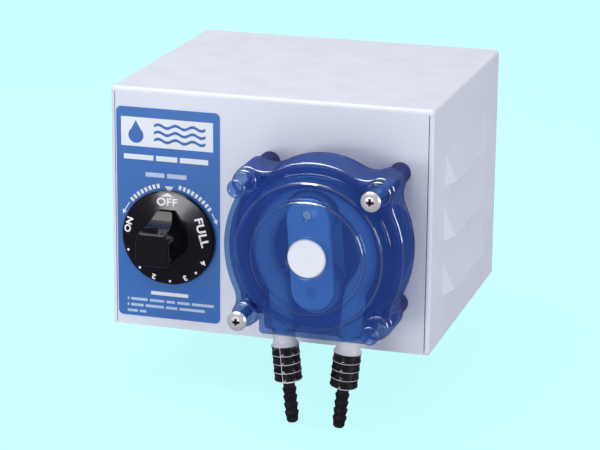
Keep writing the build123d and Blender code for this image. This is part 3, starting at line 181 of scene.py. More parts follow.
def finish(
    name,
    colour,
    rough,
    metal=0.0,
    vary=0.06,
    grain=900.0,
    blotch=60.0,
    bump=0.05,
    stretch=(1, 1, 1),
    coat=0.0,
    specular=0.5,
):
    """An opaque finish: colour that varies a little in blotches, and a fine grain."""
    material, tree, out = new_material(name)
    shader = tree.nodes.new("ShaderNodeBsdfPrincipled")
    shader.inputs["Metallic"].default_value = metal
    shader.inputs["Specular IOR Level"].default_value = specular
    shader.inputs["Coat Weight"].default_value = coat
    shader.inputs["Coat Roughness"].default_value = 0.08
    patches = noise_value(tree, blotch, 4.0, stretch)
    tint = mixed_colour(tree, patches, scaled(colour, 1 - vary), scaled(colour, 1 + vary))
    tree.links.new(tint, shader.inputs["Base Color"])
    gloss = noise_value(tree, blotch * 3, 3.0, stretch, rough * 0.85, min(1.0, rough * 1.2))
    tree.links.new(gloss, shader.inputs["Roughness"])
    if bump:
        relief = noise_value(tree, grain, 2.0, stretch)
        dents = tree.nodes.new("ShaderNodeBump")
        dents.inputs["Strength"].default_value = bump
        dents.inputs["Distance"].default_value = 0.0002
        tree.links.new(relief, dents.inputs["Height"])
        tree.links.new(dents.outputs["Normal"], shader.inputs["Normal"])
    tree.links.new(shader.outputs["BSDF"], out.inputs["Surface"])
    return material


def edge_share(tree, normal, strength):
    """How far a surface turns between facing front and facing sideways, as on a rounded edge."""
    parts = tree.nodes.new("ShaderNodeSeparateXYZ")
    tree.links.new(normal, parts.inputs["Vector"])
    shares = []
    for start, end, low, high in ((*TURNED_AWAY, 0.0, strength), (*FACING_FRONT, 1.0, 0.0)):
        ramp = tree.nodes.new("ShaderNodeMapRange")
        ramp.inputs["From Min"].default_value = start
        ramp.inputs["From Max"].default_value = end
        ramp.inputs["To Min"].default_value = low
        ramp.inputs["To Max"].default_value = high
        tree.links.new(parts.outputs["Y"], ramp.inputs["Value"])
        shares.append(ramp.outputs["Result"])
    both = tree.nodes.new("ShaderNodeMath")
    both.operation = "MULTIPLY"
    tree.links.new(shares[0], both.inputs[0])
    tree.links.new(shares[1], both.inputs[1])
    return both.outputs["Value"]


def tinted_plastic(name, pass_colour, body_colour, clear, edge_clear):
    """Dyed transparent plastic: light passes tinted, and a clear gloss lies over all of it."""
    material, tree, out = new_material(name)
    through = tree.nodes.new("ShaderNodeBsdfTransparent")
    through.inputs["Color"].default_value = (*pass_colour, 1)
    dye = tree.nodes.new("ShaderNodeBsdfDiffuse")
    cloud = noise_value(tree, 45.0, 3.0)
    tint = mixed_colour(tree, cloud, scaled(body_colour, 0.88), scaled(body_colour, 1.12))
    facing = tree.nodes.new("ShaderNodeLayerWeight")
    facing.inputs["Blend"].default_value = 0.35
    deeper = tree.nodes.new("ShaderNodeMix")
    deeper.data_type = "RGBA"
    deeper.inputs["B"].default_value = (*scaled(body_colour, EDGE_DYE), 1)
    tree.links.new(tint, deeper.inputs["A"])
    tree.links.new(facing.outputs["Facing"], deeper.inputs["Factor"])
    tree.links.new(deeper.outputs["Result"], dye.inputs["Color"])
    share = tree.nodes.new("ShaderNodeMapRange")
    share.inputs["To Min"].default_value = 1 - clear
    share.inputs["To Max"].default_value = 1 - edge_clear
    tree.links.new(facing.outputs["Facing"], share.inputs["Value"])
    inside = tree.nodes.new("ShaderNodeMixShader")
    tree.links.new(share.outputs["Result"], inside.inputs["Fac"])
    tree.links.new(through.outputs["BSDF"], inside.inputs[1])
    tree.links.new(dye.outputs["BSDF"], inside.inputs[2])
    relief = noise_value(tree, 110.0, 2.0)
    waves = tree.nodes.new("ShaderNodeBump")
    waves.inputs["Strength"].default_value = 0.05
    waves.inputs["Distance"].default_value = 0.0004
    tree.links.new(relief, waves.inputs["Height"])
    edges = tree.nodes.new("ShaderNodeBevel")
    edges.samples = 4
    edges.inputs["Radius"].default_value = EDGE_SOFTNESS * MM
    tree.links.new(edges.outputs["Normal"], waves.inputs["Normal"])
    gloss = tree.nodes.new("ShaderNodeBsdfGlossy")
    gloss.inputs["Color"].default_value = (0.95, 0.95, 1.0, 1)
    sheen = noise_value(tree, 160.0, 3.0, (1, 1, 1), PLASTIC_ROUGH * 0.8, PLASTIC_ROUGH * 1.4)
    tree.links.new(sheen, gloss.inputs["Roughness"])
    tree.links.new(waves.outputs["Normal"], gloss.inputs["Normal"])
    mirror = tree.nodes.new("ShaderNodeFresnel")
    mirror.inputs["IOR"].default_value = PLASTIC_IOR
    tree.links.new(waves.outputs["Normal"], mirror.inputs["Normal"])
    limit = tree.nodes.new("ShaderNodeMath")
    limit.operation = "MINIMUM"
    tree.links.new(mirror.outputs["Fac"], limit.inputs[0])
    limit.inputs[1].default_value = MIRROR_LIMIT
    strong = tree.nodes.new("ShaderNodeMath")
    strong.operation = "MAXIMUM"
    tree.links.new(limit.outputs["Value"], strong.inputs[0])
    tree.links.new(edge_share(tree, edges.outputs["Normal"], EDGE_GLOSS), strong.inputs[1])
    mix = tree.nodes.new("ShaderNodeMixShader")
    tree.links.new(strong.outputs["Value"], mix.inputs["Fac"])
    tree.links.new(inside.outputs["Shader"], mix.inputs[1])
    tree.links.new(gloss.outputs["BSDF"], mix.inputs[2])
    tree.links.new(mix.outputs["Shader"], out.inputs["Surface"])
    return material


def milky_clear(name, colour, passing, rough):
    """Soft clear plastic that passes most light and scatters the rest."""
    material, tree, out = new_material(name)
    shader = tree.nodes.new("ShaderNodeBsdfPrincipled")
    shader.inputs["Transmission Weight"].default_value = passing
    shader.inputs["IOR"].default_value = SOFT_PLASTIC_IOR
    haze = noise_value(tree, 70.0, 3.0)
    tint = mixed_colour(tree, haze, scaled(colour, 0.96), colour)
    tree.links.new(tint, shader.inputs["Base Color"])
    gloss = noise_value(tree, 200.0, 2.0, (1, 1, 1), rough * 0.8, rough * 1.3)
    tree.links.new(gloss, shader.inputs["Roughness"])
    tree.links.new(shader.outputs["BSDF"], out.inputs["Surface"])
    return material


FINISHES = {
    "case_paint": finish(
        "case_paint",
        (0.78, 0.80, 0.885),
        0.38,
        vary=0.012,
        grain=1500,
        blotch=18,
        bump=0.10,
        specular=0.45,
    ),
    "zinc_steel": finish(
        "zinc_steel",
        (0.62, 0.64, 0.66),
        0.34,
        metal=1.0,
        vary=0.10,
        grain=300,
        blotch=55,
        bump=0.05,
    ),
    "bright_screw": finish(
        "bright_screw",
        (0.70, 0.70, 0.70),
        0.25,
        metal=1.0,
        vary=0.05,
        grain=500,
        blotch=120,
        bump=0.04,
    ),
    "black_nylon": finish(
        "black_nylon", (0.022, 0.022, 0.024), 0.42, vary=0.15, grain=1100, blotch=60, bump=0.10
    ),
    "ivory_nylon": finish(
        "ivory_nylon", (0.72, 0.67, 0.55), 0.45, vary=0.04, grain=900, blotch=40, bump=0.06
    ),
    "label_film": finish(
        "label_film",
        (0.036, 0.166, 0.50),
        0.34,
        vary=0.008,
        grain=1400,
        blotch=9,
        bump=0.015,
        coat=0.1,
    ),
    "knob_black": finish(
        "knob_black",
        (0.0045, 0.004, 0.005),
        0.16,
        vary=0.2,
        grain=260,
        blotch=50,
        bump=0.02,
        coat=0.25,
        specular=0.45,
    ),
    "brass": finish(
        "brass", (0.66, 0.47, 0.19), 0.28, metal=1.0, vary=0.06, grain=700, blotch=80, bump=0.05
    ),
    "bronze": finish(
        "bronze", (0.40, 0.25, 0.12), 0.5, metal=1.0, vary=0.12, grain=1600, blotch=90, bump=0.12
    ),
    "phenolic": finish(
        "phenolic", (0.045, 0.03, 0.025), 0.45, vary=0.2, grain=900, blotch=70, bump=0.08
    ),
    "steel": finish(
        "steel",
        (0.56, 0.57, 0.58),
        0.22,
        metal=1.0,
        vary=0.05,
        grain=600,
        blotch=90,
        bump=0.04,
        stretch=(1, 8, 1),
    ),
    "acetal_white": finish(
        "acetal_white", (0.80, 0.80, 0.78), 0.4, vary=0.03, grain=700, blotch=50, bump=0.04
    ),
    "rotor_white": finish(
        "rotor_white", (0.83, 0.85, 0.89), 0.42, vary=0.02, grain=600, blotch=30, bump=0.04
    ),
    "roller_nylon": finish(
        "roller_nylon", (0.40, 0.44, 0.52), 0.4, vary=0.05, grain=600, blotch=40, bump=0.04
    ),
    "fitting_black": finish(
        "fitting_black", (0.009, 0.007, 0.010), 0.42, vary=0.2, grain=900, blotch=60, bump=0.08
    ),
    "gear_steel": finish(
        "gear_steel", (0.40, 0.40, 0.42), 0.3, metal=1.0, vary=0.08, grain=700, blotch=80, bump=0.06
    ),
    "die_cast": finish(
        "die_cast", (0.52, 0.53, 0.55), 0.48, metal=1.0, vary=0.10, grain=1200, blotch=60, bump=0.15
    ),
    "lamination": finish(
        "lamination",
        (0.28, 0.29, 0.33),
        0.4,
        metal=1.0,
        vary=0.12,
        grain=900,
        blotch=70,
        bump=0.1,
        stretch=(1, 12, 1),
    ),
    "copper": finish(
        "copper",
        (0.52, 0.20, 0.09),
        0.35,
        metal=0.6,
        vary=0.12,
        grain=900,
        blotch=60,
        bump=0.3,
        stretch=(12, 1, 1),
    ),
    "fan_plastic": finish(
        "fan_plastic", (0.10, 0.10, 0.11), 0.45, vary=0.08, grain=900, blotch=60, bump=0.06
    ),
    "head_blue": tinted_plastic(
        "head_blue", (0.60, 0.79, 0.985), (0.044, 0.133, 0.475), 0.82, 0.42
    ),
    "clear_tube": milky_clear("clear_tube", (0.97, 0.95, 1.0), 0.30, 0.14),
}


def screw_with_painted_recess_shade():
    """Bright screw heads with painted shade in the cross recess: ambient occlusion turns the recess near black."""
    material = finish(
        "cover_screw",
        (0.84, 0.82, 0.80),
        0.3,
        metal=0.55,
        vary=0.05,
        grain=500,
        blotch=150,
        bump=0.05,
    )
    tree = material.node_tree
    shader = next(node for node in tree.nodes if node.type == "BSDF_PRINCIPLED")
    bright = shader.inputs["Base Color"].links[0].from_socket
    # Painted shade: where ambient occlusion within 2.5 mm is low, the colour turns near black.
    shade = tree.nodes.new("ShaderNodeAmbientOcclusion")
    shade.samples = 12
    shade.only_local = True
    shade.inputs["Distance"].default_value = 2.5 * MM
    painted_recess_shade = tree.nodes.new("ShaderNodeMapRange")
    painted_recess_shade.inputs["From Min"].default_value = 0.55
    painted_recess_shade.inputs["From Max"].default_value = 0.80
    tree.links.new(shade.outputs["AO"], painted_recess_shade.inputs["Value"])
    mix = tree.nodes.new("ShaderNodeMix")
    mix.data_type = "RGBA"
    mix.inputs["A"].default_value = (0.004, 0.003, 0.003, 1)
    tree.links.new(bright, mix.inputs["B"])
    tree.links.new(painted_recess_shade.outputs["Result"], mix.inputs["Factor"])
    tree.links.new(mix.outputs["Result"], shader.inputs["Base Color"])
    return material


FINISHES["cover_screw"] = screw_with_painted_recess_shade()

PRINT_WHITE = finish(
    "print_white", (0.84, 0.87, 0.91), 0.4, vary=0.015, grain=1500, blotch=40, bump=0.02
)
PRINT_PALE = finish(
    "print_pale", (0.50, 0.63, 0.82), 0.4, vary=0.06, grain=1500, blotch=300, bump=0.02
)
PRINT_BLUE = finish(
    "print_blue", (0.036, 0.150, 0.47), 0.35, vary=0.03, grain=1500, blotch=40, bump=0.02
)
DIAL_WHITE = finish(
    "dial_white", (0.98, 0.98, 0.98), 0.5, vary=0.02, grain=1200, blotch=60, bump=0.02
)
STRETCHED_TUBE = milky_clear("stretched_tube", (0.95, 0.94, 0.97), 1.0, 0.04)
# Pale opaque finish: the painted highlight rings over the barb crests. It also covers the tube's cut ends and the
# thin pale line on the left leg.
RING_HIGHLIGHT_AND_PALE = finish("ring_highlight_and_pale", (0.83, 0.78, 0.86), 0.3, vary=0.04, grain=800, blotch=90, bump=0.03)

# Nodes whose finish differs a little from the others with the same slot: the housing's
# plastic is thicker, so darker, and the roller pins are satin.
OWN_FINISHES = {
    "head_housing": tinted_plastic(
        "thick_head_blue", (0.36, 0.46, 0.90), (0.022, 0.030, 0.20), 0.72, 0.30
    ),
    "roller_axles": finish(
        "satin_pin", (0.62, 0.66, 0.72), 0.45, metal=0.2, vary=0.03, grain=700, blotch=60
    ),
}


def dress_cad():
    """Give every CAD node the finish of its material slot in the record."""
    slots = {s["node"]: s["material_slot"] for s in frame["record"]["subparts"]}
    for name, node in nodes.items():
        node.data.materials.clear()
        node.data.materials.append(OWN_FINISHES.get(name, FINISHES[slots[name]]))


# ---- Printed marks ----
# The label's edges, and what is printed on it, in millimetres.
LABEL_LEFT, LABEL_RIGHT = label_low.x / MM, label_high.x / MM
LABEL_BOTTOM, LABEL_TOP = label_low.z / MM, label_high.z / MM
PANEL_LEFT, PANEL_RIGHT = LABEL_LEFT + 2.9, LABEL_RIGHT - 4.0
PANEL_LOW, PANEL_HIGH = LABEL_TOP - 22.9, LABEL_TOP - 5.8
DROP_AT = (LABEL_LEFT + 11.9, LABEL_TOP - 16.4)
DROP_R, DROP_TIP = 4.6, 8.8
WAVES_LEFT, WAVES_LONG = LABEL_LEFT + 22.9, 31.0
WAVE_TOP, WAVE_SPACING = LABEL_TOP - 10.2, 4.2
WAVE_HEIGHT, WAVE_LENGTH, WAVE_HALF = 0.9, 10.385, 0.85
PRINT_THICK, PRINT_SINK = 0.04, 0.03
WORD_GAP = 1.6
SMALL_GAP = 1.4
# The scale round the knob: radii in millimetres and angles in degrees.
POINTER_HALF, POINTER_BASE_R, POINTER_TIP_R = 2.6, 30.1, 26.1
TICK_START, TICK_PITCH, TICK_HALF = 12.5, 5.0, 1.5
TICK_IN_R, TICK_OUT_R = 29.3, 31.9
ARROW_R, ARROW_HALF, ARROW_TURN, LINE_HALF = 30.6, 1.4, 5.0, 0.3
# Marks on the knob's skirt.
NUMBER_R, DOT_AT_R, DOT_R = 25.2, 25.6, 0.75
MARK_HALF, MARK_LOW_R, MARK_TIP_R = 4.2, 24.7, 27.1
MARK_NOTCH_HALF, MARK_NOTCH_R = 1.6, 25.1
STRIP = 1.5


def put(name, mesh, body, materials):
    """Link a new mesh piece and let it ride on its body."""
    piece = bpy.data.objects.new(name, mesh)
    bpy.context.scene.collection.objects.link(piece)
    for material in materials:
        mesh.materials.append(material)
    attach(piece, body)
    return piece


def add_polygon(flat, points):
    """One flat face through (u, v) points."""
    flat.faces.new([flat.verts.new((u, v, 0)) for u, v in points])


def add_rectangle(flat, low_u, high_u, low_v, high_v):
    """One flat rectangle."""
    add_polygon(flat, [(low_u, low_v), (high_u, low_v), (high_u, high_v), (low_u, high_v)])


def add_disc(flat, centre, radius, count=20):
    """One flat disc."""
    points = []
    for k in range(count):
        turn = 2 * math.pi * k / count
        points.append((centre[0] + radius * math.cos(turn), centre[1] + radius * math.sin(turn)))
    add_polygon(flat, points)


def polar(radius, clockwise):
    """The (u, v) point at a clockwise angle in degrees from straight up."""
    angle = math.radians(clockwise)
    return radius * math.sin(angle), radius * math.cos(angle)


def raise_print(flat, name, place, body, material, thick=PRINT_THICK, sink=PRINT_SINK):
    """Turn flat (u, v) faces into a thin closed layer laid by place(u, v, height)."""
    bmesh.ops.remove_doubles(flat, verts=flat.verts[:], dist=1e-5)
    top = bmesh.ops.extrude_face_region(flat, geom=flat.faces[:], use_keep_orig=True)
    for vert in flat.verts:
        vert.co.z = -sink
    for item in top["geom"]:
        if isinstance(item, bmesh.types.BMVert):
            item.co.z = thick
    for vert in flat.verts:
        vert.co = Vector(place(*vert.co)) * MM
    bmesh.ops.recalc_face_normals(flat, faces=flat.faces[:])
    mesh = bpy.data.meshes.new(name)
    flat.to_mesh(mesh)
    flat.free()
    return put(name, mesh, body, [material])


def on_label(u, v, height):
    """A point on the label: u and v are X and Z in the row frame."""
    return u, LABEL_FACE - height, v


def on_label_print(u, v, height):
    """A point on top of the label's white print."""
    return on_label(u, v, height + PRINT_THICK)


def on_skirt(u, v, height):
    """A point on the knob's conical skirt: u and v are measured from the knob's axis."""
    radius = math.hypot(u, v)
    share = (SKIRT_RIM_R - radius) / (SKIRT_RIM_R - SKIRT_TOP_R)
    out = SKIRT_RIM_OUT + (SKIRT_TOP_OUT - SKIRT_RIM_OUT) * share
    return KNOB_X + u, PANEL_FACE - out - height, KNOB_Z + v


def add_letters(flat, text, height, clockwise, radius, bold, wide):
    """Dial lettering whose tops point away from the axis."""
    curve = bpy.data.curves.new("letters", "FONT")
    curve.body = text
    curve.size = height / 0.7
    curve.offset = bold
    curve.space_character = 1.06
    curve.align_x = "CENTER"
    holder = bpy.data.objects.new("letters", curve)
    mesh = bpy.data.meshes.new_from_object(holder)
    turn = math.radians(-clockwise)
    for vert in mesh.vertices:
        u, v = vert.co.x * wide, vert.co.y - height / 2 + radius
        vert.co = (u * math.cos(turn) - v * math.sin(turn), u * math.sin(turn) + v * math.cos(turn), 0)
    flat.from_mesh(mesh)
    bpy.data.meshes.remove(mesh)
    bpy.data.objects.remove(holder)
    bpy.data.curves.remove(curve)


def cut_into_strips(flat, reach, step):
    """Cut flat faces along a square grid, so that they can follow a curved surface."""
    count = math.ceil(reach / step)
    for number in range(-count, count + 1):
        for across in (Vector((1, 0, 0)), Vector((0, 1, 0))):
            everything = flat.verts[:] + flat.edges[:] + flat.faces[:]
            at = across * number * step
            bmesh.ops.bisect_plane(flat, geom=everything, plane_co=at, plane_no=across)


def print_dial():
    """White marks of the dial on the knob's skirt: words for its ends, numbers and dots."""
    flat = bmesh.new()
    add_letters(flat, "OFF", height=4.3, clockwise=0, radius=21.9, bold=0.22, wide=1.12)
    add_letters(flat, "FULL", height=4.6, clockwise=75, radius=21.8, bold=0.22, wide=1.18)
    add_letters(flat, "ON", height=3.7, clockwise=285, radius=24.6, bold=0.2, wide=1.1)
    for text, clockwise in (("4", 120), ("3", 155), ("2", 200)):
        add_letters(flat, text, height=3.0, clockwise=clockwise, radius=NUMBER_R, bold=0.2, wide=1.1)
    for clockwise in (138, 177, 222, 250):
        add_disc(flat, polar(DOT_AT_R, clockwise), DOT_R)
    mark = [
        (-MARK_HALF, MARK_LOW_R),
        (0, MARK_TIP_R),
        (MARK_HALF, MARK_LOW_R),
        (MARK_NOTCH_HALF, MARK_NOTCH_R),
        (-MARK_NOTCH_HALF, MARK_NOTCH_R),
    ]
    add_polygon(flat, mark)
    cut_into_strips(flat, SKIRT_RIM_R, STRIP)
    raise_print(flat, "dial_marks", on_skirt, "knob", DIAL_WHITE)


def add_words(flat, left, low, height, lengths, gap):
    """Plain dashes in a row, which stand for a line of print."""
    for length in lengths:
        add_rectangle(flat, left, left + length, low, low + height)
        left += length + gap


def add_round_knob(flat, corners):
    """One flat face on the label through (radius, clockwise) points round the knob."""
    points = [polar(radius, clockwise) for radius, clockwise in corners]
    add_polygon(flat, [(KNOB_X + u, KNOB_Z + v) for u, v in points])


def add_scale(flat, side, count, arrow):
    """Ticks round one side of the knob, then a line that ends in an arrowhead."""
    for step in range(count):
        middle = side * (TICK_START + step * TICK_PITCH)
        start, end = middle - TICK_HALF, middle + TICK_HALF
        tick = [(TICK_IN_R, start), (TICK_IN_R, end), (TICK_OUT_R, end), (TICK_OUT_R, start)]
        add_round_knob(flat, tick)
    start = side * (TICK_START + count * TICK_PITCH)
    end = side * (arrow - ARROW_TURN)
    inner, outer = ARROW_R - LINE_HALF, ARROW_R + LINE_HALF
    add_round_knob(flat, [(inner, start), (inner, end), (outer, end), (outer, start)])
    head = [(ARROW_R, side * arrow), (ARROW_R - ARROW_HALF, end), (ARROW_R + ARROW_HALF, end)]
    add_round_knob(flat, head)


def print_label_frame():
    """White panel, the pointer above the knob, and two tick scales."""
    flat = bmesh.new()
    add_rectangle(flat, PANEL_LEFT, PANEL_RIGHT, PANEL_LOW, PANEL_HIGH)
    base, tip = KNOB_Z + POINTER_BASE_R, KNOB_Z + POINTER_TIP_R
    add_polygon(flat, [(KNOB_X - POINTER_HALF, base), (KNOB_X, tip), (KNOB_X + POINTER_HALF, base)])
    add_scale(flat, -1, 8, 68.0)
    add_scale(flat, 1, 9, 71.0)
    raise_print(flat, "label_print", on_label, "case", PRINT_WHITE)


def print_label_words():
    """Rows of dashes in place of the label's headings and small print."""
    flat = bmesh.new()
    add_words(flat, LABEL_LEFT + 4.4, LABEL_TOP - 30.7, 3.0, (18.0, 12.8, 17.0), WORD_GAP)
    add_words(flat, LABEL_LEFT + 20.2, LABEL_BOTTOM + 13.8, 2.2, (22.8,), WORD_GAP)
    raise_print(flat, "label_heading", on_label, "case", PRINT_WHITE)
    flat = bmesh.new()
    add_words(flat, LABEL_LEFT + 17.4, LABEL_TOP - 40.4, 2.6, (11.6, 11.8), WORD_GAP)
    bullet_left, text_left = LABEL_LEFT + 5.6, LABEL_LEFT + 7.8
    rows = (
        (LABEL_BOTTOM + 9.4, (10.2, 8.8, 5.2, 7.6, 13.4)),
        (LABEL_BOTTOM + 5.8, (7.6, 11.2, 6.8, 15.4)),
    )
    for low, lengths in rows:
        add_words(flat, bullet_left, low, 1.6, (1.0,), SMALL_GAP)
        add_words(flat, text_left, low, 1.6, lengths, SMALL_GAP)
    add_words(flat, bullet_left, LABEL_BOTTOM + 2.2, 1.5, (6.2, 4.0), SMALL_GAP - 0.2)
    raise_print(flat, "label_small_print", on_label, "case", PRINT_PALE)


def print_label_icon():
    """A water drop and three wavy lines on the white panel."""
    flat = bmesh.new()
    count = 28
    drop = []
    for step in range(count):
        turn = math.radians(130 + 280 * step / (count - 1))
        drop.append((DROP_AT[0] + DROP_R * math.cos(turn), DROP_AT[1] + DROP_R * math.sin(turn)))
    drop.append((DROP_AT[0], DROP_AT[1] + DROP_TIP))
    add_polygon(flat, drop)
    count = 40
    for row in range(3):
        above = []
        below = []
        for step in range(count + 1):
            along = WAVES_LONG * step / count
            u = WAVES_LEFT + along
            v = WAVE_TOP - row * WAVE_SPACING
            v += WAVE_HEIGHT * math.sin(2 * math.pi * along / WAVE_LENGTH)
            above.append((u, v + WAVE_HALF))
            below.append((u, v - WAVE_HALF))
        add_polygon(flat, above + below[::-1])
    raise_print(flat, "label_icon", on_label_print, "case", PRINT_BLUE, 0.03, 0.02)


# ---- Squeeze tube ----
# Sections of the tube, and places along a leg, in millimetres below the head.
Station = namedtuple("Station", "at outward bore skin ringed stretched")
AROUND = 40
LEG_STEP, UPPER_LEG_STEPS, BEND_STEPS, LOOP_STEPS = 0.25, 8, 9, 120
SWELL_AT, SWELL_LONG = 4.5, 4.0
UPPER_LEG_END = 4.0
BARB_CREST, BARB_SLOPE, BARB_LONG = 3.7, 3.4, 4.2
# Painted highlight rings on the tube's skin over each barb crest: their half width, and how far below the head the
# first one starts.
HIGHLIGHT_RING_HALF, FIRST_HIGHLIGHT_RING_AT = 0.2, 11.0
END_MARK = 0.6
LOOP_GAP = 0.2
# The thin pale line on the left leg: its profile as (across, lift) and its place.
LINE_PROFILE = ((-0.16, -0.1), (0.16, -0.1), (0.12, 0.06), (-0.12, 0.06))
LINE_ASIDE, LINE_START, LINE_STEPS = 0.9, 1.0, 90


def barb_radius(distance):
    """Radius of the fitting's big barbs at a distance below the head, or 0 above them."""
    if distance < BARB_START - 1:
        return 0.0
    step = (distance - BARB_START) % BARB_PITCH
    if distance < BARB_START or step > BARB_LONG:
        return BARB_ROOT_R
    return BARB_ROOT_R + (BARB_RIDGE_R - BARB_ROOT_R) * min(1.0, step / BARB_SLOPE)


def leg_radii(distance):
    """Bore and outer radius of a tube leg at a distance below the head."""
    swell = min(1.0, max(0.0, (distance - SWELL_AT) / SWELL_LONG))
    swell = swell * swell * (3 - 2 * swell)
    crest = math.cos(2 * math.pi * (distance - BARB_START - BARB_CREST) / BARB_PITCH)
    stretched = 6.2 + 0.36 * max(0.0, crest) ** 3
    bore = TUBE_R - TUBE_WALL + (stretched - TUBE_R + TUBE_WALL) * swell
    outer = max(bore, barb_radius(distance)) + TUBE_WALL - 0.12 * swell
    if swell == 1.0:
        bore = barb_radius(distance) - 0.03
    return bore, outer


def leg_station(distance, start, down, outward):
    """The section of a leg at a distance below the head."""
    bore, outer = leg_radii(distance)
    if distance > TUBE_END - END_MARK / 2:
        outer -= 0.25
    at = (start[0] + down[0] * distance, start[1] + down[1] * distance)
    # Skin over a barb crest, from the first ring down, gets a painted highlight ring. The leg's last END_MARK is
    # pale too.
    crest = (distance - BARB_START - BARB_CREST) % BARB_PITCH
    on_highlight_ring = crest < HIGHLIGHT_RING_HALF or crest > BARB_PITCH - HIGHLIGHT_RING_HALF
    ringed = (distance > FIRST_HIGHLIGHT_RING_AT and on_highlight_ring) or distance > TUBE_END - END_MARK
    stretched = distance > BARB_START - 1.4
    return Station(at, outward, (bore, bore), (outer, outer), ringed, stretched)


def mirrored(station):
    """The same section on the other side of the head."""
    at = (-station.at[0], station.at[1])
    outward = (-station.outward[0], station.outward[1])
    return station._replace(at=at, outward=outward)


def tube_stations():
    """Every section of the tube, from the left foot round the loop to the right foot."""
    loop_r = RACEWAY_R - TUBE_R - LOOP_GAP
    reach = loop_r + LEG_BEND_R
    offset = LEG_BEND_R + LEG_X * math.cos(LEG_TILT) + FLAT_BOTTOM * math.sin(LEG_TILT)
    leave = math.asin(offset / reach) - LEG_TILT
    bend_at = (reach * math.sin(leave), -reach * math.cos(leave))
    start = (LEG_X, -FLAT_BOTTOM)
    down = (-math.sin(LEG_TILT), -math.cos(LEG_TILT))
    outward = (math.cos(LEG_TILT), -math.sin(LEG_TILT))
    on_leg_z = bend_at[1] + LEG_BEND_R * math.sin(LEG_TILT)
    leg_top = (on_leg_z + FLAT_BOTTOM) / down[1]
    lower_count = int((TUBE_END - UPPER_LEG_END) / LEG_STEP)
    steps = [TUBE_END - LEG_STEP * k for k in range(lower_count)]
    climb = (leg_top - UPPER_LEG_END) / UPPER_LEG_STEPS
    steps += [UPPER_LEG_END + climb * k for k in range(UPPER_LEG_STEPS + 1)]
    half = [leg_station(distance, start, down, outward) for distance in steps]
    from_angle = math.atan2(on_leg_z - bend_at[1], start[0] + down[0] * leg_top - bend_at[0])
    to_angle = math.atan2(-bend_at[1] - loop_r * math.cos(leave), loop_r * math.sin(leave) - bend_at[0])
    sweep = (to_angle - from_angle + math.pi) % (2 * math.pi) - math.pi
    plain_bore = (TUBE_R - TUBE_WALL, TUBE_R - TUBE_WALL)
    for k in range(1, BEND_STEPS + 1):
        angle = from_angle + sweep * k / BEND_STEPS
        at = (bend_at[0] + LEG_BEND_R * math.cos(angle), bend_at[1] + LEG_BEND_R * math.sin(angle))
        inward = (-math.cos(angle), -math.sin(angle))
        half.append(Station(at, inward, plain_bore, (TUBE_R, TUBE_R), False, False))
    first = -math.pi / 2 - leave
    last = -math.pi / 2 + leave - 2 * math.pi
    turns = [first + (last - first) * k / LOOP_STEPS for k in range(1, LOOP_STEPS)]
    loop = [loop_station(angle, loop_r) for angle in turns]
    return [mirrored(station) for station in half] + loop + half[::-1]


def loop_station(angle, loop_r):
    """One section of the loop; the upper roller flattens it against the raceway."""
    inner_edge = loop_r - TUBE_R
    outer_edge = loop_r + TUBE_R
    from_roller = angle - math.radians(90 + ROTOR_TILT)
    across = ROLLER_AT * math.sin(from_roller)
    limit = ROLLER_R + ROLLER_GAP
    if math.cos(from_roller) > 0 and abs(across) < limit:
        touch = ROLLER_AT * math.cos(from_roller) + math.sqrt(limit**2 - across**2)
        inner_edge = max(inner_edge, touch)
    flat = (outer_edge - inner_edge) / 2
    deep = flat + math.pi * (TUBE_R - flat) / 2
    centre = (outer_edge + inner_edge) / 2
    radial = (math.cos(angle), math.sin(angle))
    at = (centre * radial[0], centre * radial[1])
    bore = (max(flat - TUBE_WALL, 0.06), deep - TUBE_WALL)
    return Station(at, radial, bore, (flat, deep), False, False)


def section_ring(tube, station, radii):
    """One ring of vertices: radii are across the tube in the head's plane, and along Y."""
    ring = []
    for k in range(AROUND):
        turn = 2 * math.pi * k / AROUND
        u, w = radii[0] * math.cos(turn), radii[1] * math.sin(turn)
        point = (
            PUMP_X + station.at[0] + station.outward[0] * u,
            PANEL_FACE - TUBE_OUT + w,
            PUMP_Z + station.at[1] + station.outward[1] * u,
        )
        ring.append(tube.verts.new(Vector(point) * MM))
    return ring


def make_tube():
    """The clear squeeze tube, bored right through, stretched over the fittings' barbs."""
    stations = tube_stations()
    tube = bmesh.new()
    bore = [section_ring(tube, station, station.bore) for station in stations]
    skin = [section_ring(tube, station, station.skin) for station in stations]
    # Looks: plain clear, the pale finish (painted highlight rings and the cut ends), and the clear stretched tube.
    plain, ring, stretched = 0, 1, 2
    for grid in (skin, bore):
        for row in range(len(stations) - 1):
            look = stretched if stations[row].stretched else plain
            if grid is skin and stations[row].ringed:
                look = ring
            for k in range(AROUND):
                n = (k + 1) % AROUND
                face = tube.faces.new((grid[row][k], grid[row][n], grid[row + 1][n], grid[row + 1][k]))
                face.smooth = True
                face.material_index = look
    for row in (0, len(stations) - 1):
        for k in range(AROUND):
            n = (k + 1) % AROUND
            face = tube.faces.new((bore[row][k], bore[row][n], skin[row][n], skin[row][k]))
            face.material_index = ring
    bmesh.ops.recalc_face_normals(tube, faces=tube.faces[:])
    mesh = bpy.data.meshes.new("clear_squeeze_tube")
    tube.to_mesh(mesh)
    tube.free()
    looks = [FINISHES["clear_tube"], RING_HIGHLIGHT_AND_PALE, STRETCHED_TUBE]
    piece = put("clear_squeeze_tube", mesh, "case", looks)
    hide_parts("squeeze_tube")


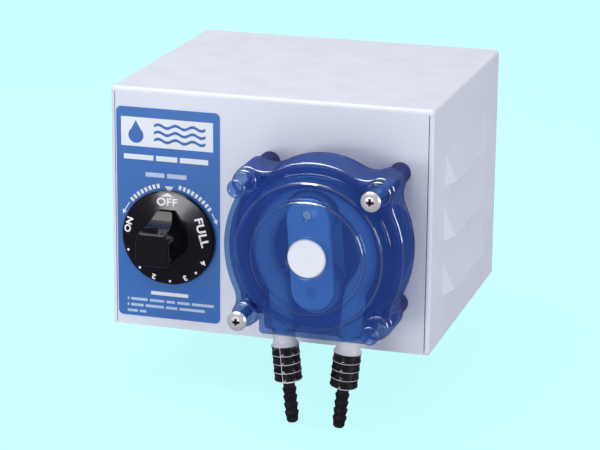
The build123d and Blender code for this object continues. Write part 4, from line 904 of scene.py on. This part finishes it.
def make_tube_line():
    """Thin raised pale line along the front of the left tube leg."""
    line = bmesh.new()
    start = (-LEG_X, -FLAT_BOTTOM)
    down = (math.sin(LEG_TILT), -math.cos(LEG_TILT))
    rows = []
    for k in range(LINE_STEPS + 1):
        distance = LINE_START + (TUBE_END - LINE_START - 0.4) * k / LINE_STEPS
        radius = leg_radii(distance)[1]
        row = []
        for across, lift in LINE_PROFILE:
            point = (
                PUMP_X + start[0] + down[0] * distance + across * math.cos(LEG_TILT) - LINE_ASIDE,
                PANEL_FACE - TUBE_OUT - math.sqrt((radius + lift) ** 2 - LINE_ASIDE**2),
                PUMP_Z + start[1] + down[1] * distance + across * math.sin(LEG_TILT),
            )
            row.append(line.verts.new(Vector(point) * MM))
        rows.append(row)
    for k in range(LINE_STEPS):
        for side in range(len(LINE_PROFILE)):
            n = (side + 1) % len(LINE_PROFILE)
            line.faces.new((rows[k][side], rows[k][n], rows[k + 1][n], rows[k + 1][side]))
    line.faces.new(rows[0])
    line.faces.new(rows[-1])
    bmesh.ops.recalc_face_normals(line, faces=line.faces[:])
    mesh = bpy.data.meshes.new("pale_tube_line")
    line.to_mesh(mesh)
    line.free()
    put("pale_tube_line", mesh, "case", [RING_HIGHLIGHT_AND_PALE])


# ---- Stage ----
# Distances in metres.
FLOOR_HALF = 12.0
FLOOR_BELOW = 0.001
LIGHTS_AIM = (0.0, -0.15, -0.02)


def glowing(tree, kind, colour, strength):
    """An emission or background shader of one colour."""
    shader = tree.nodes.new(kind)
    shader.inputs["Color"].default_value = (*colour, 1)
    shader.inputs["Strength"].default_value = strength
    return shader.outputs[0]


def matt(tree, colour):
    """A plain matt shader of one colour."""
    shader = tree.nodes.new("ShaderNodeBsdfDiffuse")
    shader.inputs["Color"].default_value = (*colour, 1)
    return shader.outputs[0]


def by_ray(tree, ray, usual, special):
    """One shader for one kind of ray, and the usual shader for all others."""
    path = tree.nodes.new("ShaderNodeLightPath")
    choose = tree.nodes.new("ShaderNodeMixShader")
    tree.links.new(path.outputs[ray], choose.inputs["Fac"])
    tree.links.new(usual, choose.inputs[1])
    tree.links.new(special, choose.inputs[2])
    return choose.outputs[0]


def add_floor():
    """A wide, plain pale floor just under the hose fittings."""
    material, tree, out = new_material("floor")
    seen = tree.nodes.new("ShaderNodeAddShader")
    bright = glowing(tree, "ShaderNodeEmission", (0.57, 1.0, 1.0), 0.90)
    tree.links.new(bright, seen.inputs[0])
    tree.links.new(matt(tree, (0.11, 0.18, 0.18)), seen.inputs[1])
    lit = by_ray(tree, "Is Glossy Ray", matt(tree, (0.72, 0.76, 0.80)), matt(tree, (0.13, 0.12, 0.17)))
    tree.links.new(by_ray(tree, "Is Camera Ray", lit, seen.outputs[0]), out.inputs["Surface"])
    mesh = bpy.data.meshes.new("floor")
    level = cad_low.z - FLOOR_BELOW
    corners = [
        (-FLOOR_HALF, -FLOOR_HALF, level),
        (FLOOR_HALF, -FLOOR_HALF, level),
        (FLOOR_HALF, FLOOR_HALF, level),
        (-FLOOR_HALF, FLOOR_HALF, level),
    ]
    mesh.from_pydata(corners, [], [(0, 1, 2, 3)])
    mesh.materials.append(material)
    floor = bpy.data.objects.new("floor", mesh)
    bpy.context.scene.collection.objects.link(floor)


def add_world():
    """Soft even light from all round, with the same pale colour behind the object."""
    world = bpy.data.worlds.new("world")
    bpy.context.scene.world = world
    world.use_nodes = True
    tree = world.node_tree
    tree.nodes.clear()
    out = tree.nodes.new("ShaderNodeOutputWorld")
    light = glowing(tree, "ShaderNodeBackground", (0.93, 0.94, 1.0), 0.55)
    reflected = glowing(tree, "ShaderNodeBackground", (0.90, 0.90, 1.0), 0.16)
    seen = glowing(tree, "ShaderNodeBackground", (0.61, 1.0, 1.0), 1.0)
    lit = by_ray(tree, "Is Glossy Ray", light, reflected)
    tree.links.new(by_ray(tree, "Is Camera Ray", lit, seen), out.inputs["Surface"])


def add_softbox(name, at, size, power, colour):
    """One rectangular area light aimed at the object."""
    data = bpy.data.lights.new(name, "AREA")
    data.shape = "RECTANGLE"
    data.size, data.size_y = size
    data.energy = power
    data.color = colour
    light = bpy.data.objects.new(name, data)
    bpy.context.scene.collection.objects.link(light)
    light.location = at
    light.rotation_mode = "QUATERNION"
    light.rotation_quaternion = (Vector(LIGHTS_AIM) - Vector(at)).to_track_quat("-Z", "Y")


def add_lights():
    """A broad softbox overhead, one in front at knob height, and a weaker one on the right."""
    add_softbox("overhead", (-0.28, -0.36, 1.2), (1.1, 0.95), 11.0, (0.99, 1.0, 0.985))
    add_softbox("low_front", (-0.42, -1.62, -0.02), (0.45, 0.5), 6.6, (0.93, 0.93, 1.0))
    add_softbox("right_side", (1.6, -0.5, 0.2), (0.8, 0.8), 7.5, (0.97, 0.98, 1.0))


add_camera()
dress_cad()
print_dial()
print_label_frame()
print_label_words()
print_label_icon()
make_tube()
make_tube_line()
add_floor()
add_world()
add_lights()
bpy.context.scene.view_settings.view_transform = "Standard"
